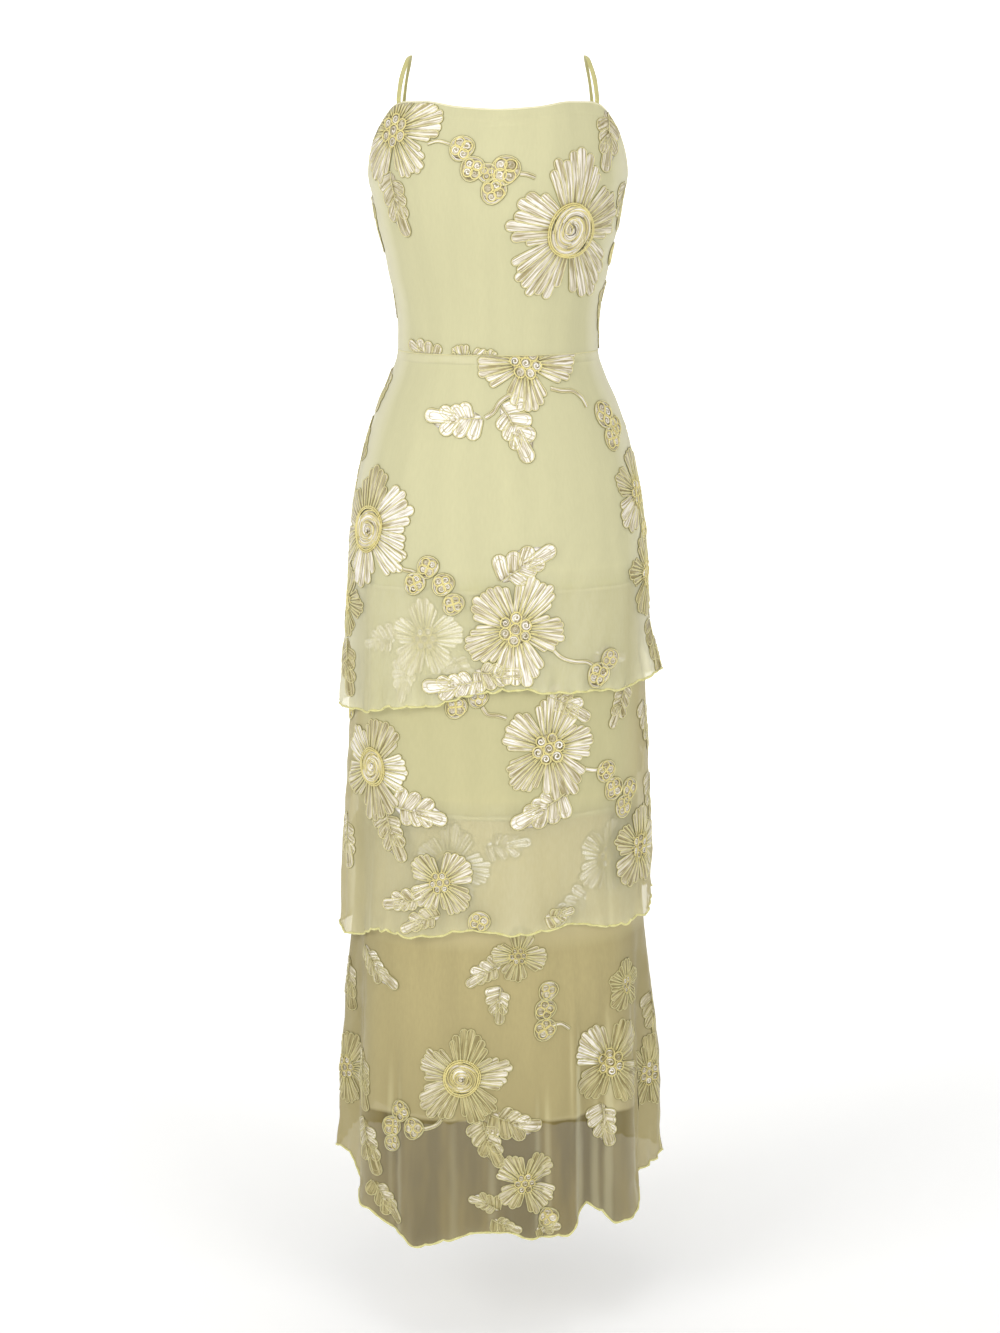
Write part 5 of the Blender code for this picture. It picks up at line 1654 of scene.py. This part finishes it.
        ("berry", 18.4, -1.0480, 0.0125, 0.0, 0.25, ()),
        ("stem", 21.5, -1.0440, 1.0, 0.0, 0.15, ((0, 0), (0.010, 0.001), (0.020, -0.006))),
        ("coil_flower", 47.0, -1.0960, 0.051, 42.0, (0.55, -0.70, 0.8, 0.85), (4, 7)),
        ("coil_flower", 58.5, -1.0130, 0.029, 15.0, (1.5, 1.3), (5, 5)),
        ("leaf", 43.0, -1.1420, 0.052, -84.0, -0.3, (0.040, 5, 0.10)),
        ("leaf", -64.0, -0.9700, 0.064, -50.0, -0.3, (0.030, 6, 0.22)),
        ("rose_flower", -13.9, -1.1030, 0.053, 10.0, (0.38, 0.75, 0.32, 0.30, 0.85), (5, 7)),
        ("leaf", -2.5, -1.1430, 0.058, -22.0, 0.08, (0.042, 5, 0.12)),
        ("leaf", -6.0, -1.1500, 0.056, -74.0, 0.3, (0.038, 5, 0.10)),
        ("berry", -39.5, -1.1490, 0.0125, 0.0, 0.3, ()),
        ("berry", -43.5, -1.1690, 0.0120, 0.0, 0.3, ()),
        ("berry", -33.0, -1.1650, 0.0125, 0.0, 0.2, ()),
        ("berry", -43.0, -1.1880, 0.0100, 0.0, 0.3, ()),
        ("stem", -29.0, -1.1640, 1.0, 0.0, 0.15, ((0, 0), (0.010, 0.003), (0.018, 0.008), (0.022, 0.014))),
        ("leaf", -61.0, -1.0900, 0.070, -84.0, 0.5, (0.036, 6, 0.05)),
        ("leaf", -57.5, -1.1680, 0.066, -74.0, 0.15, (0.036, 5, 0.05)),
        ("leaf", -52.0, -1.2380, 0.056, -52.0, 0.4, (0.030, 5, 0.05)),
        ("coil_flower", 9.9, -1.2210, 0.036, 45.0, (0.3, 0.1, 0.3, 0.02), (4, 6)),
        ("leaf", 0.5, -1.2520, 0.036, 158.0, 0.1, (0.026, 4, 0.10)),
        ("leaf", -2.0, -1.2640, 0.034, -24.0, 0.2, (0.022, 4, 0.10)),
        ("berry", 18.8, -1.2640, 0.0115, 0.0, 0.25, ()),
        ("leaf", 14.0, -1.2760, 0.028, 0.0, 0.2, (0.020, 3, 0.10)),
        ("coil_flower", 80.0, -1.1350, 0.044, 10.0, (0.3, 0.5), (5, 6)),
        ("leaf", 84.0, -1.0400, 0.056, -90.0, 0.4, (0.036, 5, 0.10)),
        ("leaf", -84.0, -1.0000, 0.060, -85.0, 0.3, (0.036, 5, 0.10)),
        ("coil_flower", -82.0, -1.1300, 0.042, 0.0, (0.2, 0.4), (5, 6)),
    ),
    ("tier3", "back"): (
        ("rose_flower", 118.0, -1.0300, 0.050, 20.0, (0.1, 0.4, 0.15, 0.3), (5, 7)),
        ("leaf", 130.0, -1.0750, 0.062, -40.0, 0.1, (0.038, 5, 0.10)),
        ("coil_flower", 160.0, -1.0100, 0.046, 0.0, (0.1, 0.4, 0.12), (5, 6)),
        ("leaf", 172.0, -1.0450, 0.058, -48.0, 0.1, (0.036, 5, 0.10)),
        ("berry", 146.0, -1.0400, 0.0130, 0.0, 0.2, ()),
        ("berry", 150.0, -1.0600, 0.0125, 0.0, 0.2, ()),
        ("rose_flower", 196.0, -1.1400, 0.052, 50.0, (0.1, 0.3, 0.5, 0.1, 0.2), (5, 7)),
        ("leaf", 208.0, -1.1800, 0.058, -40.0, 0.1, (0.036, 5, 0.10)),
        ("leaf", 188.0, -1.1980, 0.048, -110.0, 0.25, (0.034, 4, 0.10)),
        ("coil_flower", 232.0, -1.0400, 0.048, 15.0, (0.15, 0.4, 0.1), (5, 6)),
        ("leaf", 244.0, -1.0800, 0.060, -60.0, 0.2, (0.036, 5, 0.10)),
        ("berry", 222.0, -1.1100, 0.0130, 0.0, 0.2, ()),
        ("berry", 227.0, -1.1280, 0.0125, 0.0, 0.2, ()),
        ("coil_flower", 146.0, -1.1650, 0.046, 35.0, (0.1, 0.5, 0.12, 0.45), (4, 6)),
        ("leaf", 158.0, -1.2000, 0.046, -30.0, 0.15, (0.032, 4, 0.10)),
        ("leaf", 118.0, -1.1350, 0.060, -80.0, 0.3, (0.036, 5, 0.10)),
        ("coil_flower", 246.0, -1.1850, 0.040, 0.0, (0.2, 0.4), (5, 6)),
        ("leaf", 262.0, -0.9800, 0.060, -90.0, 0.3, (0.036, 5, 0.10)),
        ("coil_flower", 205.0, -0.9200, 0.042, 0.0, (0.1, 0.3), (5, 6)),
        ("coil_flower", 140.0, -0.9000, 0.042, 0.0, (0.1, 0.3), (5, 6)),
    ),
}


GLEAM = {"bodice": 0.06, "tier1": 0.06, "tier2": 0.26, "tier3": 0.66}
GOLD = {"bodice": 0.20, "tier1": 0.22, "tier2": 0.28, "tier3": 0.45}
GROUND = {"bodice": -0.04, "tier1": -0.06, "tier2": 0.0, "tier3": 0.22}
THREAD = {"bodice": (0.94, 0.0), "tier1": (0.92, 0.0), "tier2": (0.90, 0.04), "tier3": (0.82, 0.18)}
LOBES = {3: 2, 4: 3, 5: 3, 6: 4}


def build_embroidery():
    for index, ((layer, side), rows) in enumerate(MOTIFS.items()):
        work = Embroidery(layer, side, 700 + index)
        for kind, angle, height, size, turn, tone, more in rows:
            motif = Motif(work.random, turn, GLEAM[layer], side == "front", GOLD[layer], GROUND[layer], THREAD[layer])
            if kind in ("coil_flower", "rose_flower"):
                petals, fingers = more
                coils = kind == "coil_flower"
                motif.flower(size, "coils" if coils else "rose", petals, tone, fingers, 0.31 if coils else 0.37)
            elif kind == "leaf":
                width, pairs, bend = more
                motif.leaf(size, width, LOBES[pairs], tone * 0.7, bend)
            elif kind == "berry":
                motif.berry(size, tone)
            elif kind == "stem":
                motif.stem(more, 0.0034 * size, tone)
            work.place(motif, angle, height, turn=turn)
        name = ("bodice" if layer == "bodice" else "flounce" + layer[-1]) + "_" + side
        PIECES[layer + "_" + side + "_work"] = work.finish(name)


# ================================================================ the studio
WORLD_STRENGTH = 0.42
BACKDROP_GLOW = 0.62
# name, place, aim, size, watts
LIGHTS = (
    ("key", (-1.95, -1.85, 0.50), (0.0, 0.0, -0.55), 1.5, 38.0),
    ("fill", (1.75, -2.15, 0.22), (0.0, 0.0, -0.60), 1.5, 28.0),
    ("low", (0.1, -3.1, -1.05), (0.0, 0.0, -0.95), 0.9, 8.0),
    ("top", (0.15, -0.7, 2.0), (0.0, 0.0, -0.2), 1.2, 11.5),
)


def build_studio():
    scene = bpy.context.scene
    scene.view_settings.view_transform = "Standard"
    scene.view_settings.look = "None"
    scene.view_settings.exposure = 0.0
    scene.view_settings.gamma = 1.0

    # a pale floor that rises into a bright backdrop well behind the dress
    profile = [(-7.0, FLOOR)] + [(0.5 * k, FLOOR) for k in range(7)]
    for step in range(1, 17):
        a = math.radians(90.0 * step / 16)
        profile.append((3.0 + 1.6 * math.sin(a), FLOOR + 1.6 * (1 - math.cos(a))))
    profile.append((4.6, 5.0))
    xs = np.linspace(-7.0, 7.0, 9)
    points = np.array([[x, y, z] for x in xs for y, z in profile])
    rows = len(profile)
    i, j = np.meshgrid(np.arange(len(xs) - 1), np.arange(rows - 1), indexing="ij")
    a = i * rows + j
    quads = np.stack([a, a + rows, a + rows + 1, a + 1], -1).reshape(-1, 4)
    data = bpy.data.meshes.new("floor")
    data.from_pydata(points.tolist(), [], quads.tolist())
    uv = data.uv_layers.new(name="cloth")
    flat = points[[v for f in quads.tolist() for v in f]][:, [0, 1]]
    uv.data.foreach_set("uv", flat.astype(np.float32).ravel())
    data.shade_smooth()
    n = Nodes("studio_floor")
    grain = n.noise(n.uv(), 40.0, 3.0)
    n.colour(n.mix(n.spread(grain, 0.3, 0.7, 0.0, 1.0), (0.90, 0.90, 0.895), (0.91, 0.91, 0.905)))
    parts = n.add("ShaderNodeSeparateXYZ")
    n.join(n.uv(), parts.inputs[0])
    n.join(n.spread(parts.outputs["Y"], -0.6, 2.6, 0.05, BACKDROP_GLOW), n.shader.inputs["Emission Strength"])
    n.set(Roughness=0.9, Specular_IOR_Level=0.2, Emission_Color=(1.0, 1.0, 1.0, 1.0))
    data.materials.append(n.material)
    floor = bpy.data.objects.new("floor", data)
    scene.collection.objects.link(floor)
    floor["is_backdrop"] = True

    world = bpy.data.worlds.new("studio")
    world.use_nodes = True
    world.node_tree.nodes["Background"].inputs["Color"].default_value = (1.0, 0.995, 0.985, 1.0)
    world.node_tree.nodes["Background"].inputs["Strength"].default_value = WORLD_STRENGTH
    scene.world = world

    for name, place, aim, size, watts in LIGHTS:
        light = bpy.data.lights.new(name, "AREA")
        light.shape = "SQUARE"
        light.size = size
        light.energy = watts
        lamp = bpy.data.objects.new(name, light)
        lamp.location = place
        lamp.rotation_mode = "QUATERNION"
        lamp.rotation_quaternion = (Vector(aim) - Vector(place)).to_track_quat("-Z", "Y")
        lamp.visible_camera = False
        scene.collection.objects.link(lamp)


# ================================================================ all of it
build_cloth()
build_edges()
build_bands()
build_waist()
build_straps()
build_embroidery()
build_studio()

# The panels' flat sizes, each with its embroidery and, on a flounce's front, its hem.
for key, (width, length, area) in SIZES.items():
    layer, side = key.rsplit("_", 1)
    extra = list(PIECES.get(key + "_work", []))
    if layer in TIERS and side == "front":
        extra.append(PIECES[layer + "_hem"])

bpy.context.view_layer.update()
total = sum(len(p.loop_triangles) if not p.calc_loop_triangles() else 0 for p in (o.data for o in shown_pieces()))
